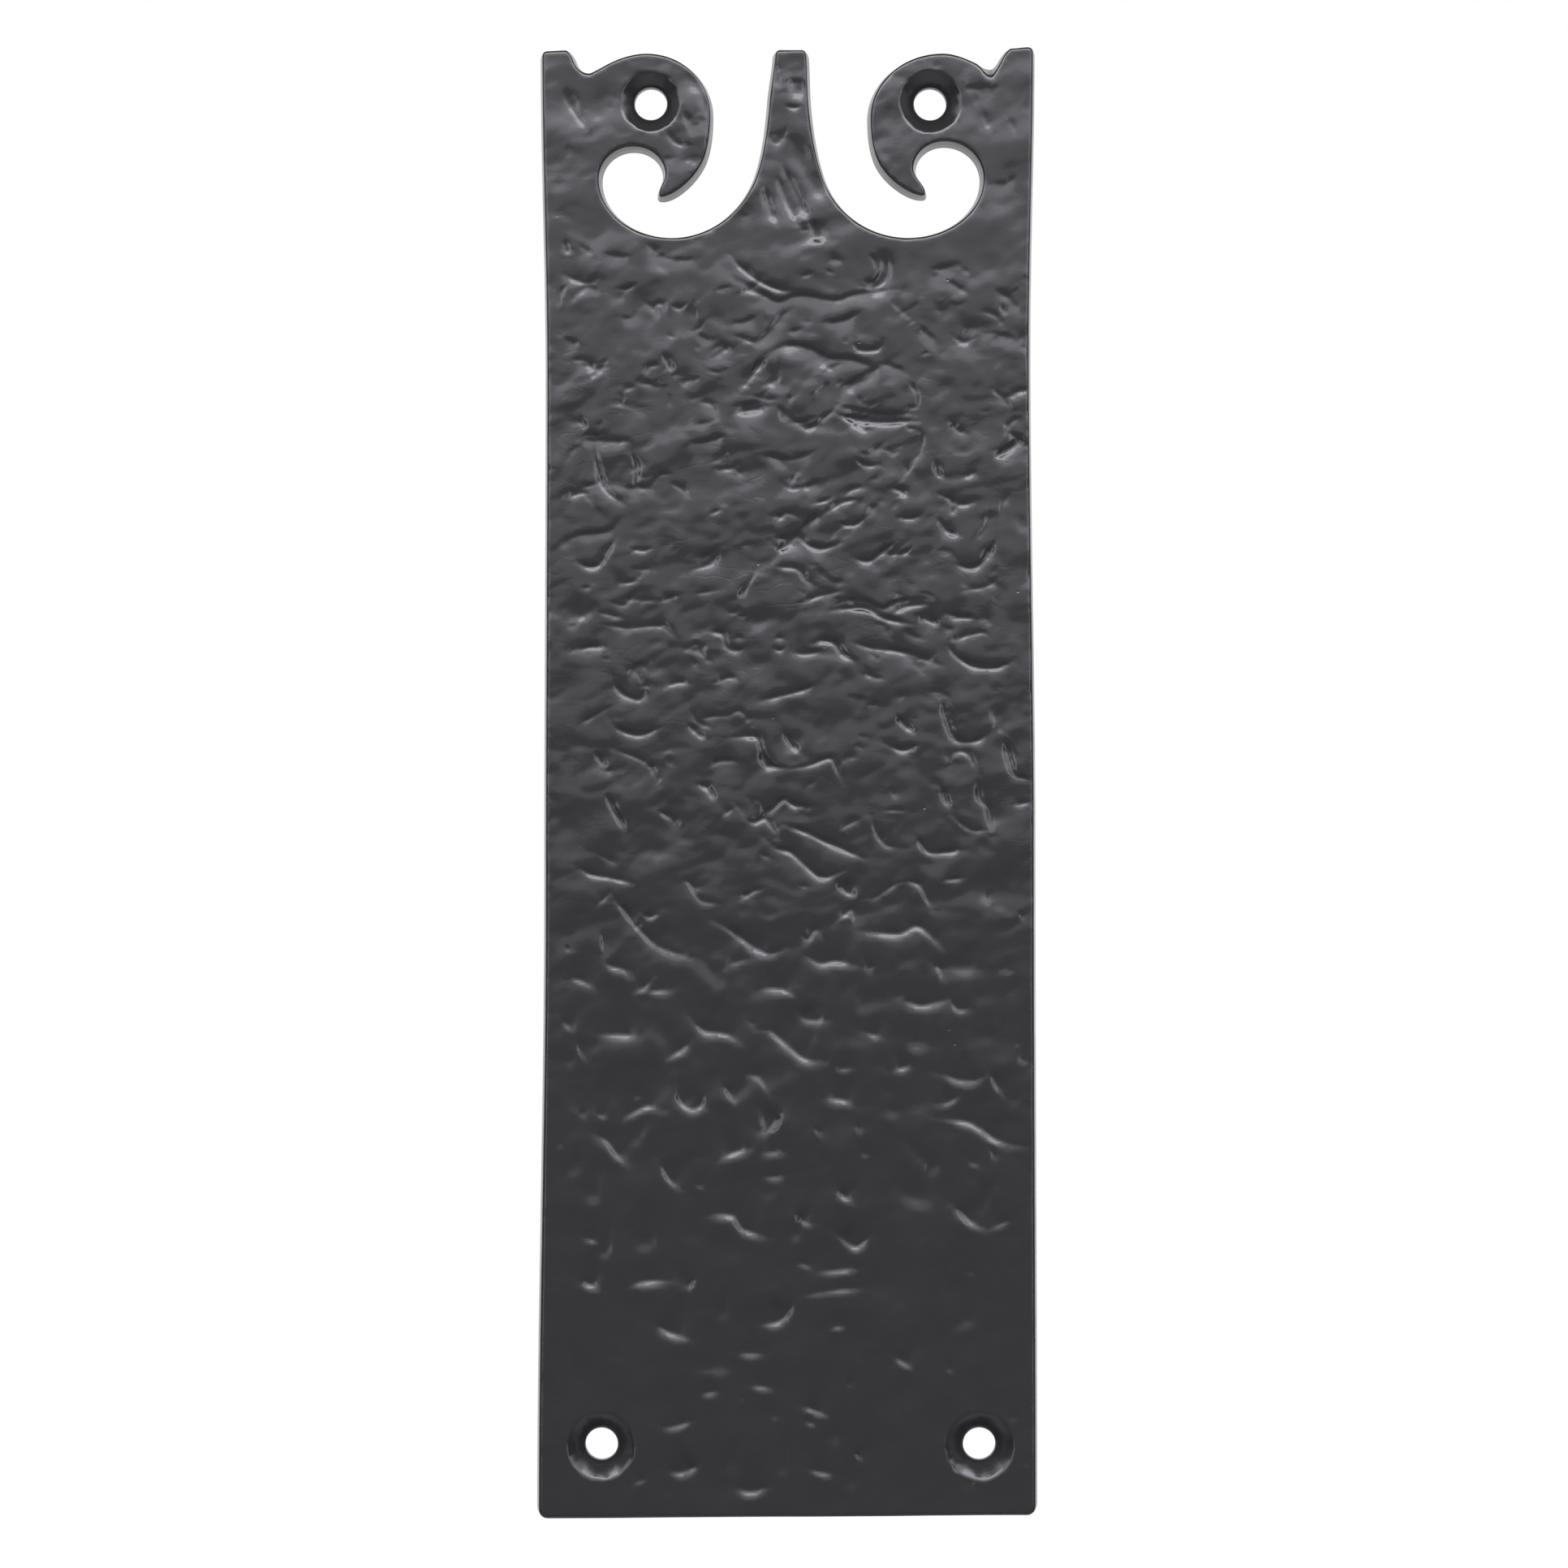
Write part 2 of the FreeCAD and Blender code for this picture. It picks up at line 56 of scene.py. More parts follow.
class Stroke(Enum):
    """How a mark of the casting is cut: its steep side, and how far each side runs out."""

    LEDGE = (1, 0.45, 0.55, 1.3, 0.85)
    CREASE = (-1, 0.62, 0.60, 1.0, 2.00)
    NICK = (1, 0.50, 0.45, 0.9, 0.65)
    SEAM = (-1, 0.62, 0.50, 0.8, 1.40)
    FOLD = (1, 0.35, 1.00, 2.2, 2.2)

    @property
    def steep_side(self) -> int:
        """1 where the steep side is below the line and so faces up, -1 where it faces down."""
        return self.value[0]

    @property
    def core_share(self) -> float:
        """How much of the depth is made up within the core of the steep side."""
        return self.value[1]

    @property
    def core(self) -> float:
        """Width of that core in mm."""
        return self.value[2]

    @property
    def skirt(self) -> float:
        """How far the rest of the steep side runs out, in mm."""
        return self.value[3]

    @property
    def reach(self) -> float:
        """How far the other side runs out, in mm."""
        return self.value[4]


LEDGE, CREASE, NICK, SEAM, FOLD = Stroke

# The marks that can be made out one by one, each a depth and a line from left to right, (across, up).
# The main ones follow those of the solid.
MAIN_MARKS = [
    (LEDGE, 0.40, (-34.8, 107.2), (-33.2, 104.6), (-31.2, 101.6)),
    (LEDGE, 0.34, (-18.9, 102.0), (-18.1, 100.3), (-17.0, 99.4), (-14.9, 99.0)),
    (CREASE, 0.36, (-0.4, 108.8), (1.5, 109.0), (3.4, 108.2)),
    (LEDGE, 0.30, (-2.8, 100.6), (-1.8, 99.4), (-0.7, 100.4), (0.0, 102.6)),
    (CREASE, 0.60, (-0.8, 96.4), (1.4, 92.0), (3.6, 87.2)),
    (LEDGE, 0.55, (-1.4, 94.0), (0.2, 90.0), (2.2, 86.0)),
    (CREASE, 0.24, (27.4, 108.2), (30.0, 108.0), (32.6, 108.2)),
    (LEDGE, 0.20, (30.4, 104.8), (31.0, 103.0), (31.9, 101.0)),
    (CREASE, 0.22, (31.8, 93.0), (34.0, 93.2), (36.0, 94.4)),
    (LEDGE, 0.42, (-8.8, 82.0), (-6.8, 79.8), (-4.0, 77.8), (-1.0, 76.6), (1.4, 76.4)),
    (CREASE, 0.34, (-8.5, 78.5), (-4.5, 76.5), (-1.5, 74.8), (2, 75.8), (7.5, 75), (10.5, 75.9), (18, 76.8)),
    (LEDGE, 0.36, (11.3, 77.2), (13.3, 77.0), (15.0, 78.0), (15.6, 80.0), (15.0, 82.5)),
    (LEDGE, 0.26, (-34.8, 79.0), (-32.0, 77.8), (-30.0, 78.0), (-29.3, 80.0)),
    (CREASE, 0.24, (-29.0, 82.3), (-26.0, 81.8), (-24.0, 81.7)),
    (LEDGE, 0.30, (-34.7, 84.8), (-34.0, 81.5)),
    (CREASE, 0.26, (22.5, 79.5), (26.5, 80.5)),
    (CREASE, 0.32, (25.0, 78.0), (28.2, 76.0)),
    (LEDGE, 0.28, (33.0, 74.5), (34.3, 72.3)),
    (CREASE, 0.26, (-35.0, 69.2), (-32.0, 67.9)),
    (LEDGE, 0.34, (-19.5, 67.0), (-17.5, 63.5)),
    (CREASE, 0.26, (-14.5, 70.0), (-12.0, 68.8), (-11.0, 69.0)),
    (CREASE, 0.28, (-6.5, 68.7), (-4.5, 68.7), (-2.5, 70.5), (-1.0, 72.5), (1.0, 73.8)),
    (CREASE, 0.30, (5.0, 71.5), (8.5, 71.8), (11.5, 73.2)),
    (CREASE, 0.42, (-3.5, 66.5), (0.0, 68.0), (3.5, 67.5), (6.5, 66.0), (10.0, 65.8), (13.5, 64.5)),
    (CREASE, 0.34, (8.0, 60.8), (11.0, 62.7), (14.5, 64.7)),
    (LEDGE, 0.34, (-7.3, 61.0), (-4.8, 64.3), (-3.0, 66.3)),
    (LEDGE, 0.34, (10.5, 69.0), (11.0, 67.3), (14.0, 67.3), (15.0, 68.7)),
    (LEDGE, 0.30, (-8.8, 57.3), (-5.5, 58.0), (-2.5, 58.5)),
    (LEDGE, 0.30, (1.5, 56.0), (3.0, 55.0), (5.0, 55.8)),
    (LEDGE, 0.42, (7.2, 57.7), (8.5, 56.9), (13.5, 56.0), (20.5, 56.2)),
    (LEDGE, 0.34, (25.2, 56.5), (26.5, 54.8), (28.0, 54.2)),
    (LEDGE, 0.34, (32.0, 50.4), (34.0, 51.4), (36.0, 53.2)),
    (CREASE, 0.28, (-4.5, 51.0), (0.5, 50.2), (4.5, 51.5)),
    (LEDGE, 0.32, (10.8, 50.3), (12.0, 49.3), (14.2, 49.3)),
    (LEDGE, 0.36, (23.0, 50.5), (23.6, 47.8), (25.0, 47.6)),
    (CREASE, 0.28, (-32.5, 53.2), (-24.5, 53.0)),
    (LEDGE, 0.40, (-30.0, 52.0), (-29.3, 48.5), (-28.2, 45.5), (-25.3, 43.2)),
    (LEDGE, 0.30, (-24.5, 52.0), (-23.5, 49.5), (-23.5, 46.3), (-21.0, 45.5)),
    (CREASE, 0.34, (-15.5, 52.5), (-12.5, 53.0), (-9.5, 54.0)),
    (CREASE, 0.24, (-35.0, 44.8), (-31.5, 45.8), (-30.0, 46.5)),
    (LEDGE, 0.34, (-33.0, 34.5), (-31.0, 33.5), (-29.3, 33.8), (-28.0, 36.0), (-26.8, 38.0)),
    (LEDGE, 0.26, (-15.0, 33.0), (-12.0, 34.0), (-10.5, 36.0)),
    (LEDGE, 0.42, (-2.5, 37.5), (-1.0, 36.3), (1.5, 38.2), (3.5, 36.8), (5.5, 36.3), (8.5, 37.3)),
    (LEDGE, 0.32, (10.2, 35.0), (12.5, 34.3), (14.5, 35.5), (17.0, 37.7)),
    (LEDGE, 0.30, (15.8, 45.8), (18.0, 45.2), (18.5, 43.8)),
    (LEDGE, 0.36, (23.5, 41.0), (25.0, 39.0), (27.0, 38.3)),
    (LEDGE, 0.38, (26.0, 33.8), (29.0, 33.3), (31.0, 35.0), (32.5, 38.0)),
    (LEDGE, 0.28, (-2.0, 33.5), (1.5, 33.2), (3.0, 31.5), (4.3, 30.5)),
    (LEDGE, 0.38, (6.7, 26.8), (12.0, 27.0), (15.0, 25.5), (19.5, 24.5)),
    (LEDGE, 0.34, (20.3, 26.0), (24.0, 24.3)),
    (LEDGE, 0.40, (25.0, 21.3), (26.5, 19.5), (29.0, 18.0), (32.5, 17.8), (35.0, 18.8)),
    (LEDGE, 0.36, (3.8, 21.6), (6.0, 22.0), (7.7, 21.3), (8.5, 20.0), (10.5, 19.0)),
    (LEDGE, 0.30, (10.0, 21.8), (13.5, 20.8), (16.5, 20.5), (19.5, 19.8), (24.0, 18.2)),
    (LEDGE, 0.34, (-12.3, 23.5), (-10.0, 23.0), (-9.3, 21.0), (-7.5, 20.0)),
    (LEDGE, 0.28, (-33.0, 20.3), (-31.0, 21.0), (-28.0, 21.0)),
    (LEDGE, 0.34, (-27.0, 16.5), (-26.0, 14.0), (-23.0, 12.8), (-22.2, 15.0)),
    (LEDGE, 0.28, (-27.5, 9.6), (-26.0, 8.1), (-23.0, 7.3), (-19.5, 8.6)),
    (LEDGE, 0.26, (-4.5, 12.8), (-1.5, 13.3), (3.0, 14.5), (4.5, 15.5)),
    (LEDGE, 0.30, (-30.0, 4.9), (-29.0, 3.3), (-27.8, 1.8)),
    (LEDGE, 0.32, (-28.3, -1.4), (-27.0, -4.4), (-25.0, -7.6)),
    (LEDGE, 0.32, (-20.0, -4.4), (-18.0, -5.7), (-16.3, -7.1)),
    (LEDGE, 0.30, (-9.5, 6.9), (-5.0, 7.1), (-4.0, 5.1), (-3.0, 2.6), (0.5, 2.1)),
    (LEDGE, 0.34, (-0.5, 7.9), (0.5, 6.1), (2.0, 4.4)),
    (LEDGE, 0.36, (-14.0, -0.4), (-12.5, -0.9), (-11.0, -3.1)),
    (LEDGE, 0.40, (-0.5, -6.6), (3.0, -7.9), (5.5, -9.1), (8.5, -10.4), (12.0, -11.9)),
    (LEDGE, 0.40, (-3.0, -9.1), (-1.5, -10.4), (0.5, -10.9), (3.0, -13.1), (5.5, -14.9), (9.0, -13.6)),
    (LEDGE, 0.36, (17.0, 10.6), (18.0, 9.1), (20.0, 7.6)),
    (LEDGE, 0.34, (15.5, 5.9), (18.0, 4.9), (20.5, 5.9)),
    (LEDGE, 0.36, (24.0, 13.6), (24.8, 10.0), (26.5, 6.4), (30.0, 6.6), (31.3, 8.6)),
    (LEDGE, 0.36, (33.5, 7.6), (34.5, 4.1), (35.5, 1.1), (38.0, 0.4)),
    (LEDGE, 0.34, (20.0, -8.4), (22.0, -10.9), (25.0, -10.9), (27.5, -10.4)),
    (LEDGE, 0.32, (29.8, 1.1), (30.0, -2.4), (31.5, -4.4), (32.0, -8.4)),
    (LEDGE, 0.30, (-33.0, -12.9), (-30.5, -14.4), (-27.5, -14.9), (-23.5, -15.9)),
    (LEDGE, 0.42, (-27.6, -17.1), (-25.0, -20.4), (-22.5, -23.4), (-19.5, -25.9), (-15.0, -27.2)),
    (LEDGE, 0.36, (-11.8, -21.4), (-9.5, -22.6), (-6.3, -24.9), (-3.0, -26.7), (0.0, -25.7)),
    (LEDGE, 0.36, (11.0, -23.1), (13.5, -23.4), (17.5, -23.6), (20.0, -22.4), (22.0, -23.6), (24.5, -26.0)),
    (LEDGE, 0.30, (18.0, -15.4), (20.5, -15.9), (22.0, -18.4), (23.0, -20.4)),
    (LEDGE, 0.30, (-28.3, -27.4), (-27.5, -28.6), (-25.0, -29.4), (-24.5, -31.4)),
    (LEDGE, 0.30, (-34.3, -30.4), (-32.0, -30.9), (-29.8, -32.1)),
    (LEDGE, 0.38, (-4.5, -32.2), (-1.0, -32.2), (2.0, -33.6)),
    (LEDGE, 0.36, (2.5, -26.7), (5.0, -28.2), (7.5, -27.9), (11.5, -28.7)),
    (LEDGE, 0.30, (17.5, -33.4), (19.0, -34.4), (21.5, -34.7), (25.5, -33.7)),
    (LEDGE, 0.38, (-15.0, -36.4), (-13.0, -38.7), (-9.5, -39.2), (-7.0, -40.7)),
    (LEDGE, 0.42, (-5.0, -38.4), (-2.5, -38.9), (0.0, -40.9), (3.0, -43.2), (6.2, -43.4)),
    (LEDGE, 0.26, (-29.8, -39.2), (-25.5, -39.4), (-22.5, -39.4)),
    (LEDGE, 0.32, (-19.3, -43.4), (-15.0, -40.7)),
    (LEDGE, 0.36, (-10.0, -46.9), (-9.0, -48.4), (-7.5, -50.4)),
    (LEDGE, 0.32, (23.0, -45.2), (25.0, -45.7), (26.5, -46.4), (29.5, -46.4), (31.3, -44.7)),
    (LEDGE, 0.32, (-26.0, -52.7), (-24.0, -51.4), (-21.5, -50.4), (-19.3, -51.2)),
    (LEDGE, 0.34, (-30.0, -54.7), (-28.0, -55.9), (-26.5, -57.9), (-24.5, -59.7)),
    (LEDGE, 0.34, (-5.0, -53.9), (-3.5, -54.4), (-2.0, -52.9), (-0.5, -50.7)),
    (LEDGE, 0.36, (22.8, -52.2), (27.8, -52.9), (30.0, -53.9), (33.0, -55.9), (37.5, -56.9)),
    (LEDGE, 0.30, (-10.8, -58.9), (-8.5, -57.7), (-5.5, -56.9)),
    (LEDGE, 0.30, (-19.8, -58.9), (-18.3, -61.7), (-16.3, -63.4)),
    (LEDGE, 0.34, (25.5, -65.5), (27.5, -67.5), (29.5, -69.0), (31.3, -69.6)),
    (LEDGE, 0.36, (-12.8, -67.5), (-10.0, -67.3), (-8.0, -67.8), (-7.0, -69.5), (-2.5, -71.0)),
    (LEDGE, 0.34, (7.3, -70.0), (9.0, -71.3), (10.8, -72.3), (13.0, -70.3)),
    (LEDGE, 0.30, (-25.0, -78.5), (-22.5, -77.8), (-18.0, -77.5)),
    (LEDGE, 0.28, (4.5, -76.3), (7.5, -76.0), (11.5, -75.5)),
    (LEDGE, 0.30, (-4.5, -84.3), (-1.5, -84.0), (0.5, -82.0), (1.0, -80.5)),
    (LEDGE, 0.30, (-21.0, -84.3), (-18.0, -85.8), (-14.5, -86.8)),
    (LEDGE, 0.24, (-19.0, -107.0), (-17.0, -107.5), (-15.0, -107.0), (-13.3, -106.0)),
    (LEDGE, 0.24, (-8.5, -109.8), (-5.5, -110.5), (-2.5, -109.5)),
]

# The finer marks, band by band from the crest down.
FINE_MARKS = [
    # Crest and spike
    (CREASE, 0.22, (-34.8, 108.3), (-33.5, 106.5), (-32.0, 104.8)),
    (NICK, 0.20, (-28.0, 105.2), (-27.0, 104.8)),
    (NICK, 0.20, (-27.3, 106.8), (-26.0, 106.0)),
    (LEDGE, 0.30, (-16.2, 104.9), (-15.4, 102.4), (-14.4, 100.2)),
    (NICK, 0.22, (-15.5, 104.0), (-13.8, 100.5)),
    (FOLD, 0.60, (-16.2, 110.8), (-13.4, 107.4), (-12.2, 103.4), (-12.6, 100.0)),
    (SEAM, 0.16, (-14.5, 103.3), (-12.3, 103.0)),
    (CREASE, 0.24, (-19.8, 97.1), (-17.3, 97.1)),
    (CREASE, 0.24, (-15.5, 96.8), (-13.0, 96.8)),
    (SEAM, 0.30, (-1.8, 112.6), (-1.1, 107.6)),
    (NICK, 0.40, (-0.4, 105.4), (1.0, 104.9), (2.2, 105.3)),
    (FOLD, 0.75, (0.6, 101.4), (2.4, 96.0), (6.2, 90.0)),
    (FOLD, 0.60, (3.6, 87.8), (5.0, 83.4)),
    (SEAM, 0.50, (-3.5, 92.6), (-1.5, 86.6)),
    (NICK, 0.20, (2.0, 86.0), (3.8, 86.0)),
    (NICK, 0.20, (5.0, 84.6), (5.7, 83.6)),
    (SEAM, 0.18, (4.5, 87.0), (5.5, 84.0)),
    (NICK, 0.16, (-34.3, 99.6), (-34.0, 96.6)),
    (SEAM, 0.16, (-7.5, 88.3), (-5.5, 88.1)),
    (NICK, 0.20, (-12.5, 85.8), (-10.8, 85.8)),
    (NICK, 0.16, (29.3, 107.0), (29.5, 105.0)),
    (NICK, 0.18, (34.5, 103.6), (35.7, 100.6)),
    # Shoulder
    (NICK, 0.16, (-7.0, 77.0), (-2.5, 75.3)),
    (NICK, 0.22, (5.7, 79.8), (7.5, 79.0)),
    (SEAM, 0.20, (6.0, 80.8), (7.5, 81.5), (8.7, 80.5)),
    (CREASE, 0.26, (11.5, 77.8), (13.8, 78.0), (14.8, 80.5), (14.0, 82.8)),
    (NICK, 0.22, (12.7, 82.3), (13.7, 81.0), (14.0, 79.3)),
    (NICK, 0.18, (17.0, 75.5), (17.2, 74.5)),
    (NICK, 0.22, (22.8, 79.4), (23.8, 78.4)),
    (NICK, 0.18, (24.0, 76.0), (24.2, 75.0)),
    (SEAM, 0.20, (27.0, 80.3), (28.5, 79.0)),
    (CREASE, 0.22, (32.5, 77.0), (36.5, 73.3)),
    (FOLD, 0.26, (23.5, 73.5), (25.0, 71.5)),
    (CREASE, 0.26, (20.5, 71.0), (22.0, 69.5), (23.5, 68.5)),
    (CREASE, 0.20, (31.5, 70.0), (35.5, 69.0)),
    (CREASE, 0.20, (-33.0, 84.0), (-30.0, 82.0)),
    (NICK, 0.20, (-35.5, 73.5), (-35.3, 76.0), (-34.2, 77.5)),
    (CREASE, 0.22, (-23.0, 83.8), (-21.0, 83.3), (-19.5, 81.8), (-16.5, 81.2), (-13.5, 81.5)),
    (NICK, 0.20, (-21.3, 72.5), (-20.5, 74.3), (-19.3, 74.3), (-18.8, 72.5)),
    (LEDGE, 0.20, (-14.5, 68.3), (-13.5, 67.0)),
    (SEAM, 0.20, (-11.5, 66.0), (-8.5, 68.3)),
    (SEAM, 0.20, (-9.0, 71.8), (-7.0, 71.5), (-4.5, 72.7)),
    (SEAM, 0.20, (0.0, 70.0), (2.5, 70.6)),
    (SEAM, 0.16, (2.5, 71.8), (4.0, 71.6)),
    (NICK, 0.16, (5.8, 64.3), (8.5, 65.0)),
    (SEAM, 0.24, (-4.0, 61.7), (-2.2, 62.5), (-1.0, 66.0)),
    (NICK, 0.18, (-11.0, 62.8), (-10.0, 62.2)),
    (SEAM, 0.18, (-10.8, 64.0), (-8.7, 64.3)),
    (CREASE, 0.22, (-9.0, 58.3), (-2.8, 59.3)),
    (SEAM, 0.22, (-2.0, 58.8), (0.5, 56.7), (2.0, 56.0), (5.0, 57.0)),
    (NICK, 0.22, (-1.2, 57.5), (-0.5, 56.0)),
    (NICK, 0.18, (0.0, 60.5), (0.5, 59.0)),
    (CREASE, 0.30, (7.5, 58.8), (10.0, 58.0), (15.0, 57.2), (20.0, 57.4)),
    (NICK, 0.22, (8.5, 57.0), (11.5, 56.5), (12.0, 55.8), (11.3, 54.9)),
    (NICK, 0.24, (18.8, 62.3), (20.0, 61.0), (20.3, 59.0), (19.7, 58.0)),
    (CREASE, 0.24, (31.5, 51.5), (34.5, 52.0), (36.7, 54.2)),
    (SEAM, 0.22, (11.0, 51.5), (12.5, 51.0), (15.0, 52.8)),
    (SEAM, 0.20, (19.0, 55.0), (21.2, 54.0), (19.5, 49.5), (17.0, 46.5)),
    (NICK, 0.18, (27.5, 48.0), (28.7, 47.0)),
    (LEDGE, 0.22, (-32.3, 57.3), (-31.3, 54.5)),
    (CREASE, 0.20, (-15.0, 55.3), (-12.5, 56.0)),
    # Upper middle
    (CREASE, 0.26, (-36.5, 36.0), (-33.0, 38.3), (-28.0, 39.0), (-26.0, 41.0)),
    (NICK, 0.20, (-24.5, 36.3), (-22.0, 36.0), (-20.8, 36.8)),
    (NICK, 0.12, (-24.0, 33.2), (-20.5, 33.0)),
    (NICK, 0.18, (-26.0, 31.0), (-23.0, 31.2)),
    (NICK, 0.20, (-32.3, 30.2), (-30.3, 30.2)),
    (CREASE, 0.22, (-15.0, 34.7), (-12.0, 35.5), (-10.8, 36.8)),
    (NICK, 0.18, (-7.5, 36.7), (-5.0, 37.0)),
    (LEDGE, 0.20, (-3.0, 41.5), (0.0, 41.0)),
    (FOLD, 0.18, (-16.0, 39.0), (-11.5, 38.0)),
    (NICK, 0.20, (-12.5, 41.5), (-10.0, 42.5)),
    (NICK, 0.20, (0.2, 45.3), (0.4, 46.5), (1.5, 48.5)),
    (SEAM, 0.24, (2.0, 45.5), (5.5, 47.0)),
    (NICK, 0.20, (4.0, 43.3), (6.8, 44.0)),
    (NICK, 0.24, (6.5, 42.0), (8.5, 43.5), (11.0, 44.0)),
    (CREASE, 0.32, (-2.3, 38.0), (0.5, 38.0), (3.5, 40.5), (5.5, 42.5)),
    (NICK, 0.24, (7.7, 40.3), (10.5, 40.0), (12.5, 41.5)),
    (NICK, 0.22, (15.0, 35.5), (18.0, 35.5), (19.5, 36.7)),
    (NICK, 0.22, (17.0, 41.2), (19.5, 41.0), (21.0, 41.8)),
    (SEAM, 0.22, (25.5, 45.0), (26.2, 41.0)),
    (CREASE, 0.22, (29.0, 37.5), (31.0, 40.0), (31.5, 43.0)),
    (NICK, 0.16, (27.0, 29.8), (30.5, 30.3), (32.3, 31.3), (32.5, 32.7)),
    (CREASE, 0.24, (4.0, 34.0), (6.5, 31.5), (9.5, 31.0)),
    (LEDGE, 0.22, (-8.0, 28.3), (-6.5, 30.0), (-5.0, 33.0)),
    (LEDGE, 0.22, (-20.0, 28.0), (-16.5, 29.3)),
    (NICK, 0.12, (-26.0, 28.5), (-20.0, 28.2)),
    (NICK, 0.18, (-14.5, 29.3), (-11.5, 29.7)),
    (FOLD, 0.26, (-35.0, 25.8), (-32.0, 26.0), (-29.5, 28.0)),
    (NICK, 0.20, (-29.5, 26.5), (-25.5, 25.5)),
    (NICK, 0.22, (2.0, 27.8), (4.5, 28.8), (8.5, 29.8)),
    (FOLD, 0.26, (-6.3, 24.0), (-3.5, 25.3), (-0.5, 25.5)),
    (NICK, 0.22, (16.0, 26.0), (18.5, 27.3), (22.0, 27.8)),
    (SEAM, 0.26, (7.0, 28.0), (11.5, 28.3), (15.0, 27.0), (17.0, 28.0), (22.0, 28.5)),
    (NICK, 0.18, (24.0, 26.3), (27.0, 25.8), (29.0, 26.0)),
    (NICK, 0.22, (25.0, 25.5), (29.5, 25.5)),
    (NICK, 0.18, (25.0, 22.0), (28.0, 22.8), (30.5, 23.3), (31.5, 22.5)),
    (NICK, 0.24, (-2.2, 21.6), (-1.8, 20.7), (-1.0, 20.5), (-0.3, 21.2)),
    (SEAM, 0.22, (-2.0, 22.2), (-1.2, 22.6), (-0.4, 22.1)),
    (NICK, 0.24, (-8.5, 21.6), (-8.1, 20.7), (-7.3, 20.5), (-6.6, 21.2)),
    (SEAM, 0.20, (-8.3, 22.2), (-7.5, 22.6), (-6.7, 22.1)),
    (NICK, 0.20, (-11.3, 15.5), (-9.0, 16.3), (-7.5, 15.8)),
    (NICK, 0.18, (-29.0, 19.3), (-27.3, 19.0)),
    (NICK, 0.22, (-23.5, 17.5), (-22.2, 15.0)),
    (LEDGE, 0.22, (-29.0, 24.5), (-24.5, 24.0), (-19.5, 24.3), (-17.0, 22.3)),
    (NICK, 0.20, (-19.0, 14.8), (-17.0, 15.5), (-15.0, 15.3)),
    (NICK, 0.22, (-15.0, 19.3), (-13.8, 17.5)),
    (LEDGE, 0.22, (-14.5, 22.0), (-12.5, 19.0)),
    (NICK, 0.20, (17.0, 12.5), (18.5, 14.0)),
    # Middle
    (NICK, 0.14, (-32.5, 8.9), (-27.0, 12.1)),
    (NICK, 0.18, (-27.5, 5.3), (-23.0, 3.6), (-21.0, 2.1), (-19.8, -0.7)),
    (LEDGE, 0.32, (-15.5, 9.1), (-14.0, 7.6), (-12.5, 6.6)),
    (NICK, 0.14, (-14.5, 9.1), (-12.5, 10.1), (-9.0, 10.4), (-7.5, 11.1), (-5.0, 8.6)),
    (NICK, 0.22, (0.5, 2.1), (3.5, 2.6), (5.5, 3.4), (7.0, 3.6), (8.0, 1.6), (9.0, -0.4)),
    (NICK, 0.20, (3.0, -0.9), (4.5, 0.4)),
    (LEDGE, 0.22, (-12.5, 2.1), (-10.5, 3.3), (-7.0, 3.1)),
    (LEDGE, 0.22, (-10.3, -5.4), (-8.3, -3.9)),
    (LEDGE, 0.30, (-5.5, -2.6), (-4.0, -3.1), (-3.5, -4.9), (-2.0, -3.9), (-0.5, -2.6), (1.0, -3.6), (4.5, -3.9)),
    (NICK, 0.24, (-6.8, -5.6), (-5.0, -6.4), (-3.5, -5.6), (-2.0, -7.4), (-1.0, -8.9)),
    (LEDGE, 0.22, (-4.5, -10.9), (-2.5, -12.1)),
    (LEDGE, 0.32, (7.5, -15.4), (9.0, -16.9), (11.0, -17.9)),
    (LEDGE, 0.32, (7.0, -21.9), (10.0, -19.9), (10.5, -21.0), (11.0, -23.1)),
    (LEDGE, 0.22, (-29.5, -11.1), (-26.3, -12.9)),
    (FOLD, 0.16, (-24.5, -12.4), (-21.0, -10.4), (-19.0, -12.9)),
    (NICK, 0.22, (-29.5, -19.1), (-27.6, -17.1)),
    (NICK, 0.20, (-22.8, -20.1), (-21.5, -21.1), (-19.8, -20.4)),
    (LEDGE, 0.22, (-16.5, -14.6), (-15.0, -15.9), (-13.5, -18.4), (-10.5, -18.9)),
    (FOLD, 0.16, (-13.5, -13.1), (-9.5, -11.9)),
    (NICK, 0.20, (-7.5, -18.4), (-5.5, -17.1), (-3.8, -16.6)),
    (FOLD, 0.26, (-7.0, -23.4), (-5.0, -25.7), (-2.5, -24.9)),
    (NICK, 0.26, (2.3, -23.4), (3.0, -24.6), (4.5, -22.9), (5.5, -24.4)),
    (NICK, 0.20, (1.5, -16.1), (3.5, -16.4)),
    (NICK, 0.14, (7.5, -7.6), (11.5, -5.6)),
    (LEDGE, 0.22, (13.0, -4.9), (14.0, -7.9), (15.5, -9.9), (18.0, -10.1)),
    (NICK, 0.20, (15.0, -4.4), (18.5, -4.4)),
    (NICK, 0.14, (16.0, -0.4), (17.0, -2.9)),
    (LEDGE, 0.32, (24.0, -0.4), (24.5, -2.4), (25.5, -4.4)),
    (FOLD, 0.34, (31.0, 9.9), (33.0, 10.1), (33.7, 7.6)),
    (LEDGE, 0.22, (25.0, 2.6), (26.0, 4.6), (28.0, 4.6), (29.0, 3.1), (30.0, 1.1)),
    (NICK, 0.14, (25.5, -4.9), (28.5, -7.4), (32.0, -7.4)),
    (LEDGE, 0.32, (35.0, -3.6), (38.0, -3.1)),
    (NICK, 0.14, (12.5, -18.9), (16.0, -16.4), (18.0, -15.4)),
